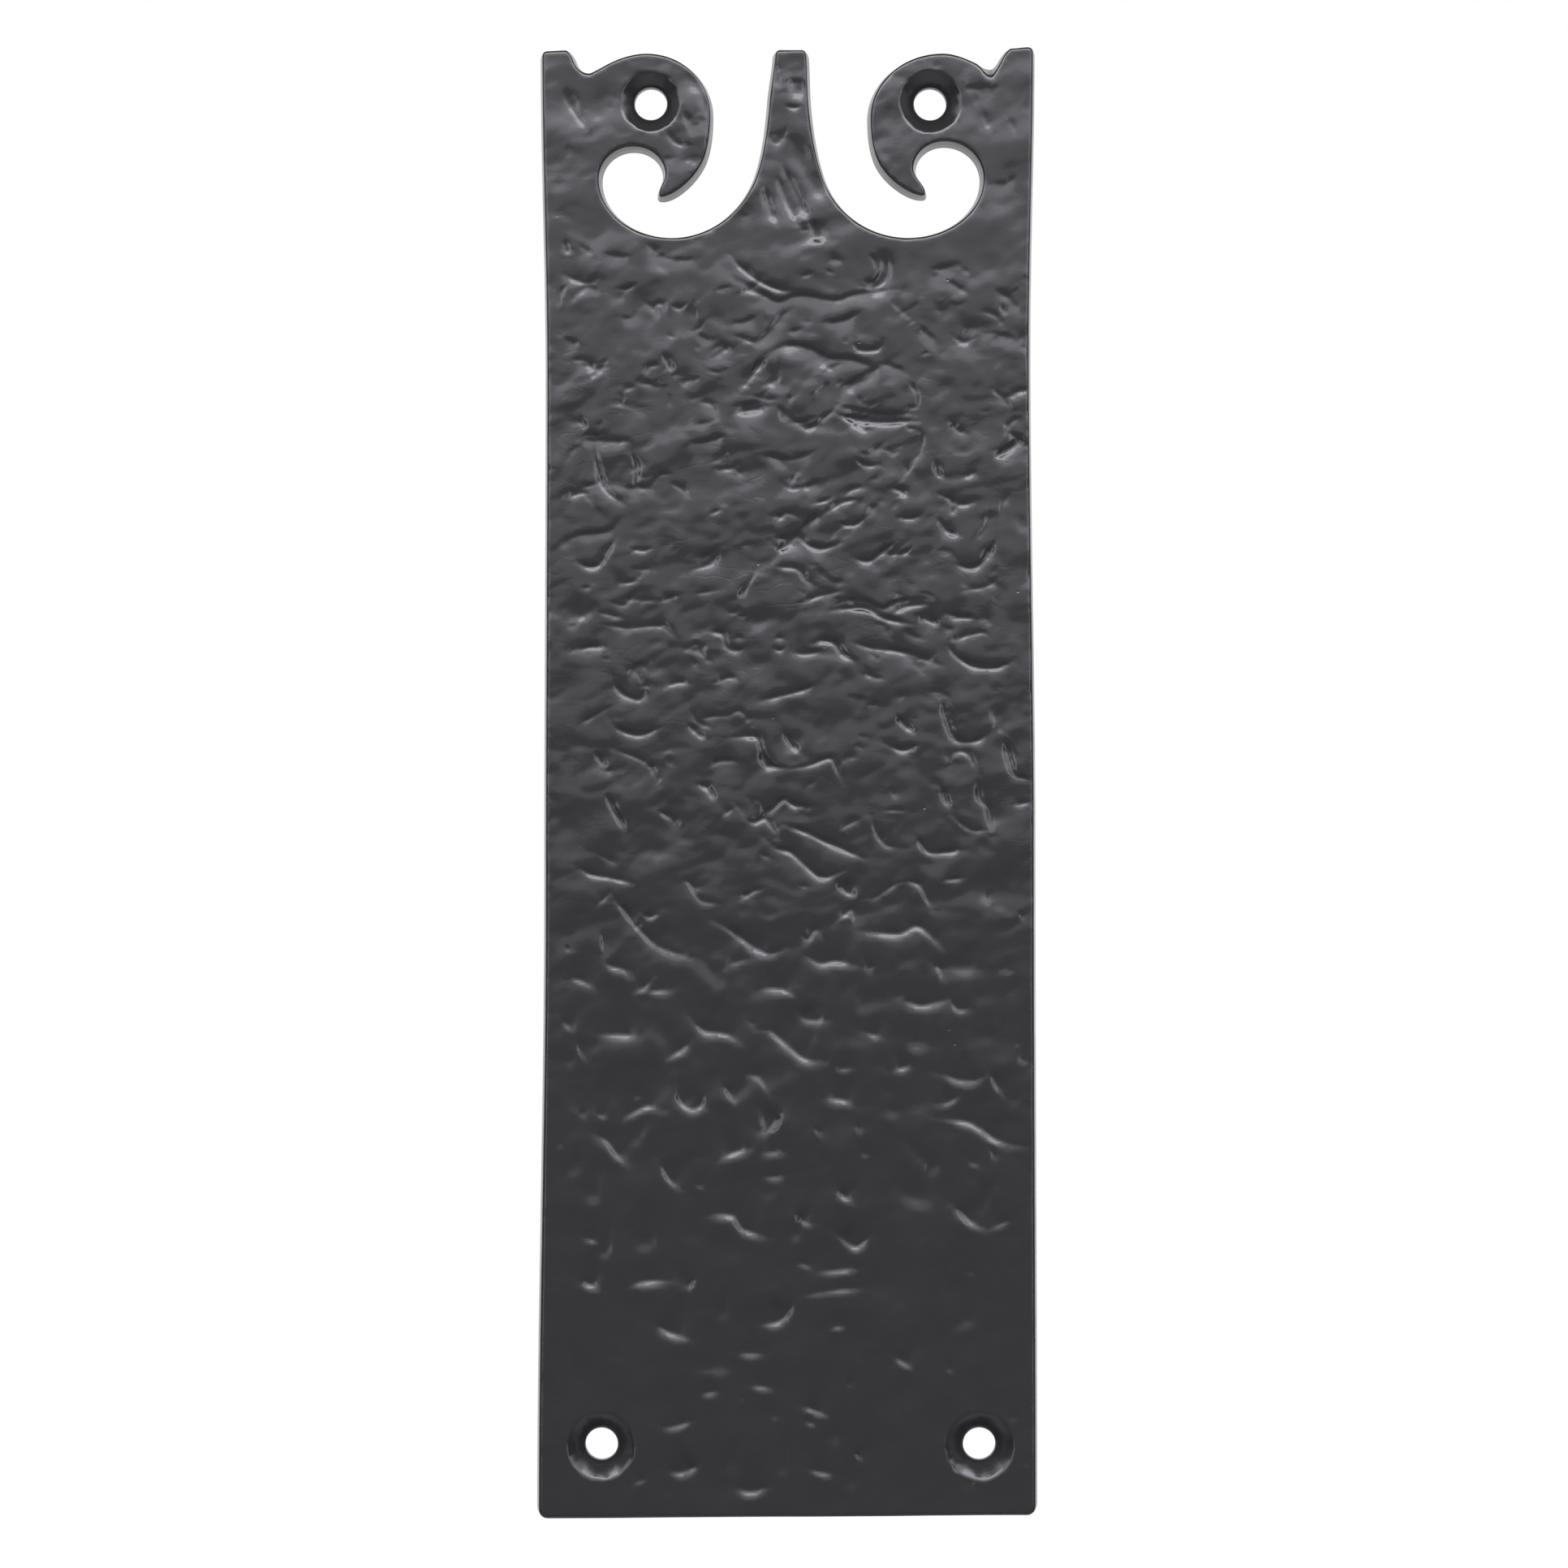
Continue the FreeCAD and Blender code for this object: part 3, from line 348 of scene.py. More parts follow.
    (NICK, 0.20, (24.0, -15.4), (27.5, -14.9)),
    (FOLD, 0.18, (33.0, -12.6), (32.8, -17.0), (32.9, -20.4)),
    (SEAM, 0.20, (31.3, -13.9), (31.4, -19.9)),
    (NICK, 0.20, (35.8, -19.9), (37.0, -21.6)),
    # Lower middle
    (NICK, 0.28, (-34.8, -25.4), (-33.7, -26.5)),
    (NICK, 0.18, (-28.8, -22.9), (-28.3, -27.4)),
    (LEDGE, 0.32, (-24.0, -32.6), (-22.3, -31.9), (-20.8, -29.9)),
    (LEDGE, 0.22, (-22.3, -32.4), (-17.5, -32.4)),
    (FOLD, 0.18, (-15.0, -27.4), (-12.5, -28.9), (-11.0, -30.7), (-8.5, -31.4)),
    (LEDGE, 0.22, (-9.5, -28.6), (-5.5, -27.2)),
    (LEDGE, 0.22, (1.5, -35.1), (3.0, -36.9), (7.0, -36.9)),
    (LEDGE, 0.32, (11.8, -29.4), (14.0, -28.4)),
    (LEDGE, 0.32, (22.8, -28.4), (24.0, -29.4), (24.3, -31.4)),
    (FOLD, 0.28, (25.0, -26.9), (26.5, -28.9), (30.0, -28.9)),
    (NICK, 0.20, (33.5, -29.7), (35.5, -29.4)),
    (FOLD, 0.16, (11.0, -31.4), (12.0, -36.4)),
    (NICK, 0.22, (25.5, -33.7), (26.5, -35.4), (28.5, -35.2)),
    (NICK, 0.20, (-6.0, -36.9), (-5.0, -38.4)),
    (LEDGE, 0.32, (7.0, -44.7), (10.5, -44.5)),
    (LEDGE, 0.22, (16.0, -44.9), (20.0, -43.9)),
    (NICK, 0.20, (-35.3, -36.9), (-33.0, -38.9)),
    (NICK, 0.14, (-32.5, -39.2), (-32.2, -41.9), (-30.5, -43.9)),
    (FOLD, 0.36, (-35.0, -43.4), (-32.5, -43.6)),
    (NICK, 0.20, (12.0, -38.9), (15.0, -39.9)),
    (FOLD, 0.24, (18.0, -40.4), (22.5, -41.2)),
    (LEDGE, 0.32, (35.5, -43.2), (38.0, -43.6)),
    (NICK, 0.20, (35.3, -40.9), (36.5, -40.7)),
    (NICK, 0.14, (-7.5, -45.4), (-4.5, -45.9), (-2.5, -48.9)),
    (LEDGE, 0.22, (31.3, -44.7), (32.5, -46.9), (33.7, -48.9)),
    (LEDGE, 0.32, (5.5, -49.2), (8.5, -49.4), (10.5, -50.4)),
    (NICK, 0.28, (-16.8, -46.9), (-16.8, -49.4), (-15.0, -50.9), (-13.5, -50.4), (-13.0, -47.9)),
    (NICK, 0.20, (-24.3, -49.2), (-22.5, -48.7)),
    (LEDGE, 0.32, (-32.5, -51.2), (-31.3, -52.2)),
    (LEDGE, 0.32, (-29.8, -51.4), (-27.8, -52.4)),
    (NICK, 0.22, (23.0, -50.2), (25.0, -49.9), (27.0, -48.4)),
    (FOLD, 0.24, (15.0, -51.4), (18.0, -51.2)),
    (LEDGE, 0.20, (-4.5, -57.7), (0.0, -57.4)),
    (NICK, 0.14, (31.5, -56.4), (32.5, -59.4)),
    (NICK, 0.14, (4.0, -53.4), (5.5, -55.4)),
    (NICK, 0.14, (10.5, -52.9), (11.5, -54.9)),
    (FOLD, 0.36, (-34.3, -59.9), (-32.5, -60.4)),
    (NICK, 0.22, (-36.0, -56.2), (-35.0, -56.6)),
    (FOLD, 0.26, (21.5, -61.4), (24.0, -58.9)),
    (NICK, 0.20, (28.0, -58.9), (30.0, -59.9)),
    (NICK, 0.20, (11.0, -57.7), (13.0, -58.2)),
    # Foot
    (FOLD, 0.36, (-31.8, -64.4), (-28.5, -64.8)),
    (NICK, 0.20, (-14.5, -62.3), (-12.8, -63.3)),
    (NICK, 0.20, (-4.0, -61.3), (-2.0, -61.5), (0.0, -61.0)),
    (LEDGE, 0.30, (7.8, -63.0), (8.5, -64.3), (10.5, -65.3)),
    (FOLD, 0.16, (17.0, -62.8), (19.0, -64.5), (23.5, -66.0)),
    (NICK, 0.14, (31.3, -69.6), (35.0, -68.0)),
    (NICK, 0.16, (1.0, -66.8), (2.5, -68.3), (4.5, -68.9)),
    (FOLD, 0.34, (0.0, -70.0), (2.5, -71.0)),
    (NICK, 0.22, (-31.8, -70.8), (-29.0, -71.8)),
    (FOLD, 0.24, (-30.0, -73.0), (-26.8, -73.5)),
    (FOLD, 0.24, (-24.0, -72.0), (-19.8, -71.8)),
    (LEDGE, 0.30, (-32.5, -77.8), (-30.3, -78.3), (-28.8, -79.0)),
    (NICK, 0.14, (-16.5, -79.5), (-14.0, -77.0)),
    (NICK, 0.20, (1.3, -74.8), (4.0, -75.5)),
    (NICK, 0.10, (2.0, -80.0), (8.0, -79.0), (13.0, -78.8)),
    (FOLD, 0.24, (-11.8, -82.5), (-9.0, -83.5)),
    (NICK, 0.18, (6.5, -85.0), (9.5, -84.5)),
    (FOLD, 0.14, (25.0, -84.8), (28.5, -83.8), (30.0, -84.5)),
    (NICK, 0.18, (-8.0, -89.0), (-3.0, -89.0)),
    (FOLD, 0.12, (-15.8, -91.3), (-7.5, -91.0)),
    (NICK, 0.16, (16.5, -89.3), (20.0, -91.5)),
    (NICK, 0.16, (24.5, -91.3), (26.0, -91.5)),
    (NICK, 0.18, (-13.8, -95.3), (-10.3, -94.8)),
    (NICK, 0.12, (-6.0, -93.8), (-1.5, -94.5)),
    (NICK, 0.18, (-7.5, -96.3), (-6.5, -95.5)),
    (NICK, 0.18, (9.0, -94.0), (10.5, -93.5)),
    (NICK, 0.14, (27.5, -76.5), (29.5, -76.4)),
    (NICK, 0.18, (-19.8, -100.5), (-17.5, -100.3), (-14.5, -99.3)),
    (NICK, 0.18, (2.0, -97.0), (5.5, -98.3), (7.0, -99.0)),
    (NICK, 0.18, (2.3, -99.3), (5.0, -100.3)),
    (FOLD, 0.30, (6.0, -102.0), (8.3, -102.4)),
    (NICK, 0.24, (-2.8, -98.8), (-1.3, -98.9)),
    (FOLD, 0.14, (-10.3, -106.0), (-7.5, -107.0)),
    (FOLD, 0.28, (-2.0, -106.8), (0.5, -107.1)),
    (NICK, 0.18, (3.0, -106.8), (5.5, -107.5), (7.5, -107.9)),
    (FOLD, 0.14, (8.5, -109.3), (11.5, -108.9)),
    (NICK, 0.12, (-24.0, -109.3), (-21.8, -108.3)),
    (FOLD, 0.20, (27.5, -110.0), (29.0, -108.5)),
    (NICK, 0.12, (34.5, -99.3), (36.0, -98.8)),
    (NICK, 0.12, (36.5, -106.0), (38.0, -106.2)),
    (NICK, 0.12, (10.0, -104.0), (12.0, -105.8)),
]

# Round hollows that can be made out: across, up, radius, depth.
HOLLOWS = [
    (-29.3, 103.8, 1.3, 0.16), (-29.5, 101.5, 0.5, 0.10), (-16.8, 101.1, 1.0, 0.16), (1.8, 107.4, 1.5, 0.34),
    (-2.8, 97.0, 0.9, 0.14), (-35.5, 93.0, 1.0, 0.14), (15.6, 105.0, 0.5, 0.12), (15.2, 97.8, 0.8, 0.12),
    (17.0, 96.4, 0.8, 0.12), (16.0, 95.2, 0.6, 0.10), (33.0, 90.0, 2.0, 0.10), (31.0, 88.2, 1.4, 0.08),
    (-21.3, 71.8, 1.3, 0.14), (-15.0, -48.6, 1.4, 0.16),
]


@dataclass(frozen=True)
class Half:
    """One half of the outline, with its two screw holes.

    Sizes run in from the side edge and down from the top, but the spike's run from the middle. A turn is the heading
    of the outline there, in degrees, going up the right side.
    """

    edge_in_top: float
    edge_in_waist: float
    waist_drop: float
    edge_in_belly: float
    belly_drop: float
    foot_drop: float
    horn_drop: float
    horn_dip: float
    horn_width: float
    horn_flank: tuple[float, float, float]
    notch: tuple[float, float, float]
    brow: tuple[float, float, float]
    peak: tuple[float, float]
    throat: tuple[float, float]
    elbow: tuple[float, float, float]
    chin: tuple[float, float, float]
    tip: tuple[float, float]
    palm: tuple[float, float]
    vault: tuple[float, float]
    bowl: tuple[float, float]
    floor: tuple[float, float]
    flare: tuple[float, float, float]
    spike_root: float
    spike_top: float
    eye_in: float
    eye_rim: float
    toe_in: float
    toe_rim: float


LEFT = Half(
    edge_in_top=0.55, edge_in_waist=1.33, waist_drop=52.0, edge_in_belly=1.08, belly_drop=134.0, foot_drop=-0.1,
    horn_drop=0.7, horn_dip=-0.1, horn_width=4.9, horn_flank=(6.35, 2.75, 250.0), notch=(8.3, 4.1, 1.2),
    brow=(10.25, 3.2, 150.0), peak=(17.35, 1.1), throat=(27.6, 11.0), elbow=(26.2, 18.9, 298.0),
    chin=(21.9, 23.5, 328.0), tip=(18.9, 23.85), palm=(19.7, 20.4), vault=(15.2, 16.5), bowl=(10.25, 21.1),
    floor=(21.2, 29.8), flare=(5.2, 20.4, 110.0), spike_root=3.2, spike_top=2.3,
    eye_in=17.85, eye_rim=9.25, toe_in=10.15, toe_rim=10.4,
)
RIGHT = Half(
    edge_in_top=0.43, edge_in_waist=1.08, waist_drop=47.0, edge_in_belly=0.3, belly_drop=124.0, foot_drop=0.4,
    horn_drop=0.1, horn_dip=0.2, horn_width=4.6, horn_flank=(6.2, 2.4, 244.0), notch=(7.45, 3.5, 3.2),
    brow=(9.4, 2.75, 152.0), peak=(14.95, 1.1), throat=(26.65, 11.5), elbow=(25.1, 19.2, 301.0),
    chin=(21.1, 23.05, 329.0), tip=(17.4, 23.6), palm=(19.06, 19.5), vault=(14.65, 15.7), bowl=(9.05, 21.0),
    floor=(20.35, 29.8), flare=(5.8, 20.4, 108.0), spike_root=3.72, spike_top=3.4,
    eye_in=16.85, eye_rim=9.65, toe_in=9.15, toe_rim=10.6,
)


@dataclass(frozen=True)
class Outline:
    """The plate's outline, drawn from headed nodes joined by Bezier arcs, at any distance in from its back edge."""

    height: float = 230.0
    width: float = 78.3
    foot_corner: float = 1.8
    horn_corner: float = 1.15
    spike_corner: float = 1.1
    spike_drop: float = 0.55
    spacing: float = 0.5

    def nodes(self, half: Half) -> list[tuple[float, float, float, float]]:
        """Headed nodes of one half, from the middle of the foot round to the top of the spike.

        Args:
            half: The half's sizes.

        Returns:
            For each node how far out and up it is, its heading in degrees and the share of an inset it takes.
        """
        edge = self.width / 2
        top = self.height / 2
        foot = half.foot_drop - top
        horn = top - half.horn_drop
        side_top = edge - half.edge_in_top
        horn_end = side_top - half.horn_width
        spike = top - self.spike_drop
        return [
            (0.0, (LEFT.foot_drop + RIGHT.foot_drop) / 2 - top, 0.0, 1.0),
            (edge - self.foot_corner, foot, 0.0, 1.0),
            (edge, foot + self.foot_corner, 90.0, 1.0),
            (edge - half.edge_in_belly, top - half.belly_drop, 90.0, 1.0),
            (edge - half.edge_in_waist, top - half.waist_drop, 90.0, 1.0),
            (side_top, horn - self.horn_corner, 90.0, 1.0),
            (side_top - self.horn_corner, horn, 180.0, 1.0),
            (horn_end + self.horn_corner * 0.7, horn - half.horn_dip, 180.0, 1.0),
            (edge - half.horn_flank[0], top - half.horn_flank[1], half.horn_flank[2], 1.0),
            (edge - half.notch[0], top - half.notch[1], 180.0, half.notch[2]),
            (edge - half.brow[0], top - half.brow[1], half.brow[2], 1.0),
            (edge - half.peak[0], top - half.peak[1], 180.0, 1.0),
            (edge - half.throat[0], top - half.throat[1], 270.0, 1.0),
            (edge - half.elbow[0], top - half.elbow[1], half.elbow[2], 1.0),
            (edge - half.chin[0], top - half.chin[1], half.chin[2], 1.0),
            (edge - half.tip[0], top - half.tip[1], 75.0, 0.75),
            (edge - half.palm[0], top - half.palm[1], 90.0, 1.0),
            (edge - half.vault[0], top - half.vault[1], 0.0, 1.0),
            (edge - half.bowl[0], top - half.bowl[1], 270.0, 1.0),
            (edge - half.floor[0], top - half.floor[1], 180.0, 1.0),
            (half.flare[0], top - half.flare[1], half.flare[2], 1.0),
            (half.spike_root, top - 9.0, 94.5, 1.0),
            (half.spike_top, spike - self.spike_corner, 94.0, 1.0),
            (half.spike_top - self.spike_corner, spike, 180.0, 1.0),
        ]

    def ring(self, inset: float) -> list[tuple[float, float]]:
        """Points evenly along the closed outline, as many at every inset.

        Args:
            inset: How far into the metal the ring lies, in mm.

        Returns:
            Points (across, up), the right half going up and then the left half coming down.
        """
        def headed(points: list, mirror: int) -> list[tuple[Vector, Vector]]:
            """Nodes moved into the metal, each with its heading as a unit vector."""
            moved = []
            for out, up, heading, share in points:
                along = Vector((math.cos(math.radians(heading)), math.sin(math.radians(heading))))
                place = Vector((out, up)) + Vector((-along.y, along.x)) * inset_here * share
                moved.append((Vector((place.x * mirror, place.y)), Vector((along.x, along.y * mirror))))
            return moved

        def closed(depth: float) -> list[tuple[Vector, Vector]]:
            """All nodes of the ring at one inset."""
            nonlocal inset_here
            inset_here = depth
            return headed(self.nodes(RIGHT), 1) + headed(self.nodes(LEFT), -1)[::-1][:-1]

        inset_here = 0.0
        base, here = closed(0.0), closed(inset)
        points = []
        for i, (start, end) in enumerate(zip(here, here[1:] + here[:1])):
            span = (base[(i + 1) % len(base)][0] - base[i][0]).length
            count = max(2, round(span * 1.05 / self.spacing))
            handles = self.arc(start, end)
            points += [(p.x, p.y) for p in interpolate_bezier(*handles, count + 1)[:-1]]
        return points

    @staticmethod
    def arc(start: tuple[Vector, Vector], end: tuple[Vector, Vector]) -> tuple[Vector, Vector, Vector, Vector]:
        """The four control points between two headed nodes, a true arc where their headings allow one."""
        (a, along_a), (b, along_b) = start, end
        chord = b - a
        turn = along_a.cross(along_b)
        reach_a = reach_b = chord.length / 3
        if abs(turn) > 0.1:
            to_corner = chord.cross(along_b) / turn
            from_corner = along_a.cross(chord) / turn
            if to_corner > 0 and from_corner > 0:
                angle = math.acos(max(-1.0, min(1.0, along_a.dot(along_b))))
                pull = 4 / 3 * math.tan(angle / 4) / math.tan(angle / 2)
                reach_a, reach_b = to_corner * pull, from_corner * pull
        return a, a + along_a * reach_a, b - along_b * reach_b, b


@dataclass(frozen=True)
class Relief:
    """The cast front: marks, hollows and a soft unevenness, as a depth below the highest level of the face."""

    floor: float = 1.1
    least: float = 0.02
    strength: float = 1.68
    lean: float = 0.003
    swell: float = 0.08
    swell_count: int = 30
    swell_seed: int = 11
    dent_count: int = 150
    dent_depth: float = 0.15
    dent_size: float = 3.4
    dent_seed: int = 7
    ripple_count: int = 820
    ripple_seed: int = 23
    lump_size: float = 4.0
    lump_depth: float = 0.15
    crumple_size: float = 4.2
    crumple_depth: float = 0.13
    crumple_seed: int = 5
    corner: float = 0.13
    rest: float = 0.10
    foot_breadth: float = 0.3
    foot_depth: float = 0.115
    foot_rest: float = 0.12
    foot_reach: float = 3.2
    foot_bulge: float = 0.5
    crest_relief: float = 0.9

    def breadth(self, up: float) -> float:
        """How much broader a mark is at a height than it is on the upper half, where the marks are finer."""
        return 1.0 + self.foot_breadth * self.footing(up)

    def depth(self, across: np.ndarray, up: np.ndarray) -> np.ndarray:
        """Depth of the face at each point.

        Args:
            across: Places across the plate, in mm.
            up: Places up the plate, in mm.

        Returns:
            Depths in mm, from 0 to the relief's floor.
        """
        depth = self.rest + self.foot_rest * np.clip((5.0 - up) / 50.0, 0.0, 1.0)
        depth += self.unevenness(across, up) + self.dents(across, up)
        depth += self.lumps(across, up) + self.crumple(across, up)
        for stroke, deep, *line in self.marks():
            self.cut(depth, across, up, stroke, deep, line)
        for x, z, size, deep in HOLLOWS:
            depth += deep * np.exp(-((across - x) ** 2 + (up - z) ** 2) / (0.6 * size * size))
        depth = self.least + 0.03 * np.logaddexp(0.0, (depth - self.least) / 0.03)
        return depth / (1.0 + (depth / self.floor) ** 4) ** 0.25

    def marks(self) -> list[tuple]:
        """Every mark, with its depth as it is cut: more even toward the foot, lighter on the crest."""
        marks = []
        for foot_depth, group in ((self.foot_depth, MAIN_MARKS + FINE_MARKS), (0.0, self.ripples())):
            for stroke, deep, *line in group:
                height = line[0][1]
                footing = self.footing(height)
                crest = min(1.0, max(0.0, (height - 80.0) / 8.0))
                deep = deep * (1.0 - 0.5 * footing) + foot_depth * footing
                deep *= self.strength * self.breadth(height) * (1.0 - self.lean * height)
                marks.append((stroke, deep * (1.0 - (1.0 - self.crest_relief) * crest), *line))
        return marks

    def unevenness(self, across: np.ndarray, up: np.ndarray) -> np.ndarray:
        """Long soft waves, stronger toward the crest."""
        source = random.Random(self.swell_seed)
        total = np.zeros_like(across)
        for _ in range(self.swell_count):
            heading = math.radians(source.gauss(90.0, 38.0))
            length = source.uniform(5.0, 14.0)
            phase = source.uniform(0.0, 2 * math.pi)
            total += length / 12 * np.sin(
                (across * math.cos(heading) + up * math.sin(heading)) * 2 * math.pi / length + phase
            )
        height = np.clip(up / 230 + 0.5, 0.0, 1.0)
        return self.swell * (1.5 + total / math.sqrt(self.swell_count / 2) * (0.35 + 0.65 * height))

    def lumps(self, across: np.ndarray, up: np.ndarray) -> np.ndarray:
        """Small lumps that fade toward the foot."""
        size = self.lump_size
        lumps = [noise.fractal((x / size, z / size, 0.0), 1.0, 2.0, 2) for x, z in zip(across, up)]
        return self.lump_depth * np.array(lumps) * self.roughened(up)

    def crumple(self, across: np.ndarray, up: np.ndarray) -> np.ndarray:
        """Broken creases that wind among the lumps, in two sizes."""
        noise.seed_set(self.crumple_seed)
        total = np.zeros_like(across)
        for layer, share in enumerate((1.0, 0.62)):
            size = self.crumple_size * share
            creases = [self.crease(x / size, z / size, layer) for x, z in zip(across, up)]
            total += self.crumple_depth * share * np.array(creases)
        return total * self.roughened(up)

    @staticmethod
    def crease(across: float, up: float, layer: int) -> float:
        """Depth of one size of crease at a place, from 0 to 1.

        Args:
            across: Place across the plate, in sizes of the crease.
            up: Place up the plate, the same.
            layer: Which of the sizes it is.

        Returns:
            1 in the bottom of a crease and 0 away from one.
        """
        bend = noise.noise_vector((across * 0.45, up * 0.45, 5.0 + layer))
        x, z = across + 0.7 * bend.x, up + 0.7 * bend.y
        level = noise.noise((x * 0.8 - z * 0.2, z - x * 0.3, 1.7 + layer))
        place = noise.noise((x * 0.42, z * 0.55, 9.3 + layer))
        return max(0.0, 1.0 - abs(level) / 0.24) * min(1.0, max(0.0, place * 3.0 + 0.55))

    @staticmethod
    def roughened(up: np.ndarray) -> np.ndarray:
        """How rough the casting is at a height: fully on the upper half, hardly at the foot."""
        return 0.16 + 0.84 * np.clip((up + 75.0) / 110.0, 0.0, 1.0) - 0.5 * np.clip((up - 60.0) / 30.0, 0.0, 1.0)

    def dents(self, across: np.ndarray, up: np.ndarray) -> np.ndarray:
        """Shallow round dents, the same as the solid's."""
        source = random.Random(self.dent_seed)
        total = np.zeros_like(across)
        for _ in range(self.dent_count):
            height = 1.0 - source.random() ** 1.6
            x = (source.random() - 0.5) * 78.3
            z = (height - 0.5) * 230.0
            size = self.dent_size * (0.7 + 0.6 * source.random())
            deep = self.dent_depth * (0.4 + 0.6 * height)
            total += deep * np.exp(-1.5 * ((across - x) ** 2 + (up - z) ** 2) / size ** 2)
        return total

    def ripples(self) -> list[tuple]:
        """Small crumpled marks between the ones that can be made out, thick on the upper half and few at the foot."""
        source = random.Random(self.ripple_seed)
        marks = []
        for _ in range(self.ripple_count):
            height = 1.0 - source.random() ** 1.35
            x = source.uniform(-37.5, 37.5)
            z = (height - 0.5) * 224.0
            heading = math.radians(source.gauss(14.0 if z > 20.0 else -12.0, 36.0))
            length = source.uniform(1.4, 5.0)
            bow = source.uniform(-0.35, 0.35) * length
            along = (math.cos(heading), math.sin(heading))
            stroke = NICK if source.random() < (0.62 if z < 70.0 else 0.35) else SEAM
            deep = source.uniform(0.08, 0.24) * (0.2 + 0.8 * height) * (0.55 if z > 80.0 else 1.0)
            line = [
                (x - along[0] * length / 2, z - along[1] * length / 2),
                (x - along[1] * bow, z + along[0] * bow),
                (x + along[0] * length / 2, z + along[1] * length / 2),
            ]
            marks.append((stroke, deep, *line))
        return marks

    @staticmethod
    def drawn(line: list) -> np.ndarray:
        """A mark's line drawn as a smooth curve through its points.

        Args:
            line: The points from left to right.

        Returns:
            Points closely along the curve, one row each.
        """
        nodes = np.array(line)
        nodes = np.vstack((2 * nodes[0] - nodes[1], nodes, 2 * nodes[-1] - nodes[-2]))
        points = [nodes[1:2]]
        for a, b, c, d in zip(nodes, nodes[1:], nodes[2:], nodes[3:]):
            steps = max(2, round(math.hypot(*(c - b)) / 0.8))
            t = np.arange(1, steps + 1)[:, None] / steps
            points.append(b + ((c - a) * t + (2 * a - 5 * b + 4 * c - d) * t ** 2 + (3 * b - a - 3 * c + d) * t ** 3) / 2)
        return np.vstack(points)

    def cut(
        self, depth: np.ndarray, across: np.ndarray, up: np.ndarray, stroke: Stroke, deep: float, line: list
    ) -> None:
        """Adds one mark to the depths: a valley that varies along its line and thins out toward both ends.

        Toward the foot it is less a valley than a step, with a long way up from it and a low bulge below it.

        Args:
            depth: Depths in mm, changed in place.
            across: Places across the plate.
            up: Places up the plate.
            stroke: How the mark is cut.
            deep: Its depth in mm.
            line: Its points from left to right.
        """
        margin = 7.0
        nodes = self.drawn(line)
        low, high = nodes.min(0) - margin, nodes.max(0) + margin
        near = np.flatnonzero((across > low[0]) & (across < high[0]) & (up > low[1]) & (up < high[1]))
        if not near.size:
            return
        x, z = across[near], up[near]
        away = np.full(near.size, np.inf)
        side = np.zeros(near.size)
        place = np.zeros(near.size)
        lengths = np.hypot(*np.diff(nodes, axis=0).T)
        before = 0.0
        for (ax, az), (bx, bz), length in zip(nodes, nodes[1:], lengths):
            dx, dz = (bx - ax) / length, (bz - az) / length
            along = np.clip((x - ax) * dx + (z - az) * dz, 0.0, length)
            ox, oz = x - ax - dx * along, z - az - dz * along
            distance = np.hypot(ox, oz)
            closer = distance < away
            away[closer] = distance[closer]
            side[closer] = (dx * oz - dz * ox)[closer]
            place[closer] = before + along[closer]
            before += length
        breadth, footing = self.breadth(line[0][1]), self.footing(line[0][1])
        far = self.foot_reach * min(1.0, before / 8.0)
        waver = 1.0 + 0.14 * np.sin(place * 1.2 + nodes[0, 0] * 3.1)
        taper = np.clip(np.minimum(place, before - place) / ((0.25 + 0.1 * footing) * before + 0.5), 0.0, 1.0)
        body = (0.15 + 0.85 * taper * taper * (3.0 - 2.0 * taper)) * waver
        share = 0.5 + 0.5 * stroke.steep_side * side / np.maximum(away, 1e-6)
        spread = min(1.0, 0.3 + before / 6.0)
        bulge = self.foot_bulge * footing
        run = away / (stroke.core * (1.0 + 0.1 * footing) * breadth * spread)
        away = away / (breadth * spread * (0.45 + 0.55 * taper))
        core = self.ramp(1.0 - run) - self.ramp(-run)
        core_share = stroke.core_share + (0.72 - stroke.core_share) * footing
        steep = core_share * core + (1.0 - core_share) * np.exp(-away / stroke.skirt)
        steep -= bulge * (1.0 - core) * np.exp(-away / far)
        gentle = 0.35 + 0.65 * footing
        other = (1.0 - gentle) * (self.ramp(1.0 - away / stroke.reach) - self.ramp(-away / stroke.reach))
        other += gentle * np.exp(-away / (stroke.reach * 1.5 + far * footing))
        edge = np.clip((margin - away) / 2.0, 0.0, 1.0)
        depth[near] += deep / (1.0 + bulge) * spread * body * edge * (share * other + (1.0 - share) * steep)

    @staticmethod
    def footing(up: float) -> float:
        """How far down a height is: 0 on the upper half and 1 near the foot."""
        return min(1.0, max(0.0, (5.0 - up) / 50.0))

    def ramp(self, run: np.ndarray) -> np.ndarray:
        """A straight rise from 0 that starts softly."""
        return self.corner * np.logaddexp(0.0, run / self.corner)


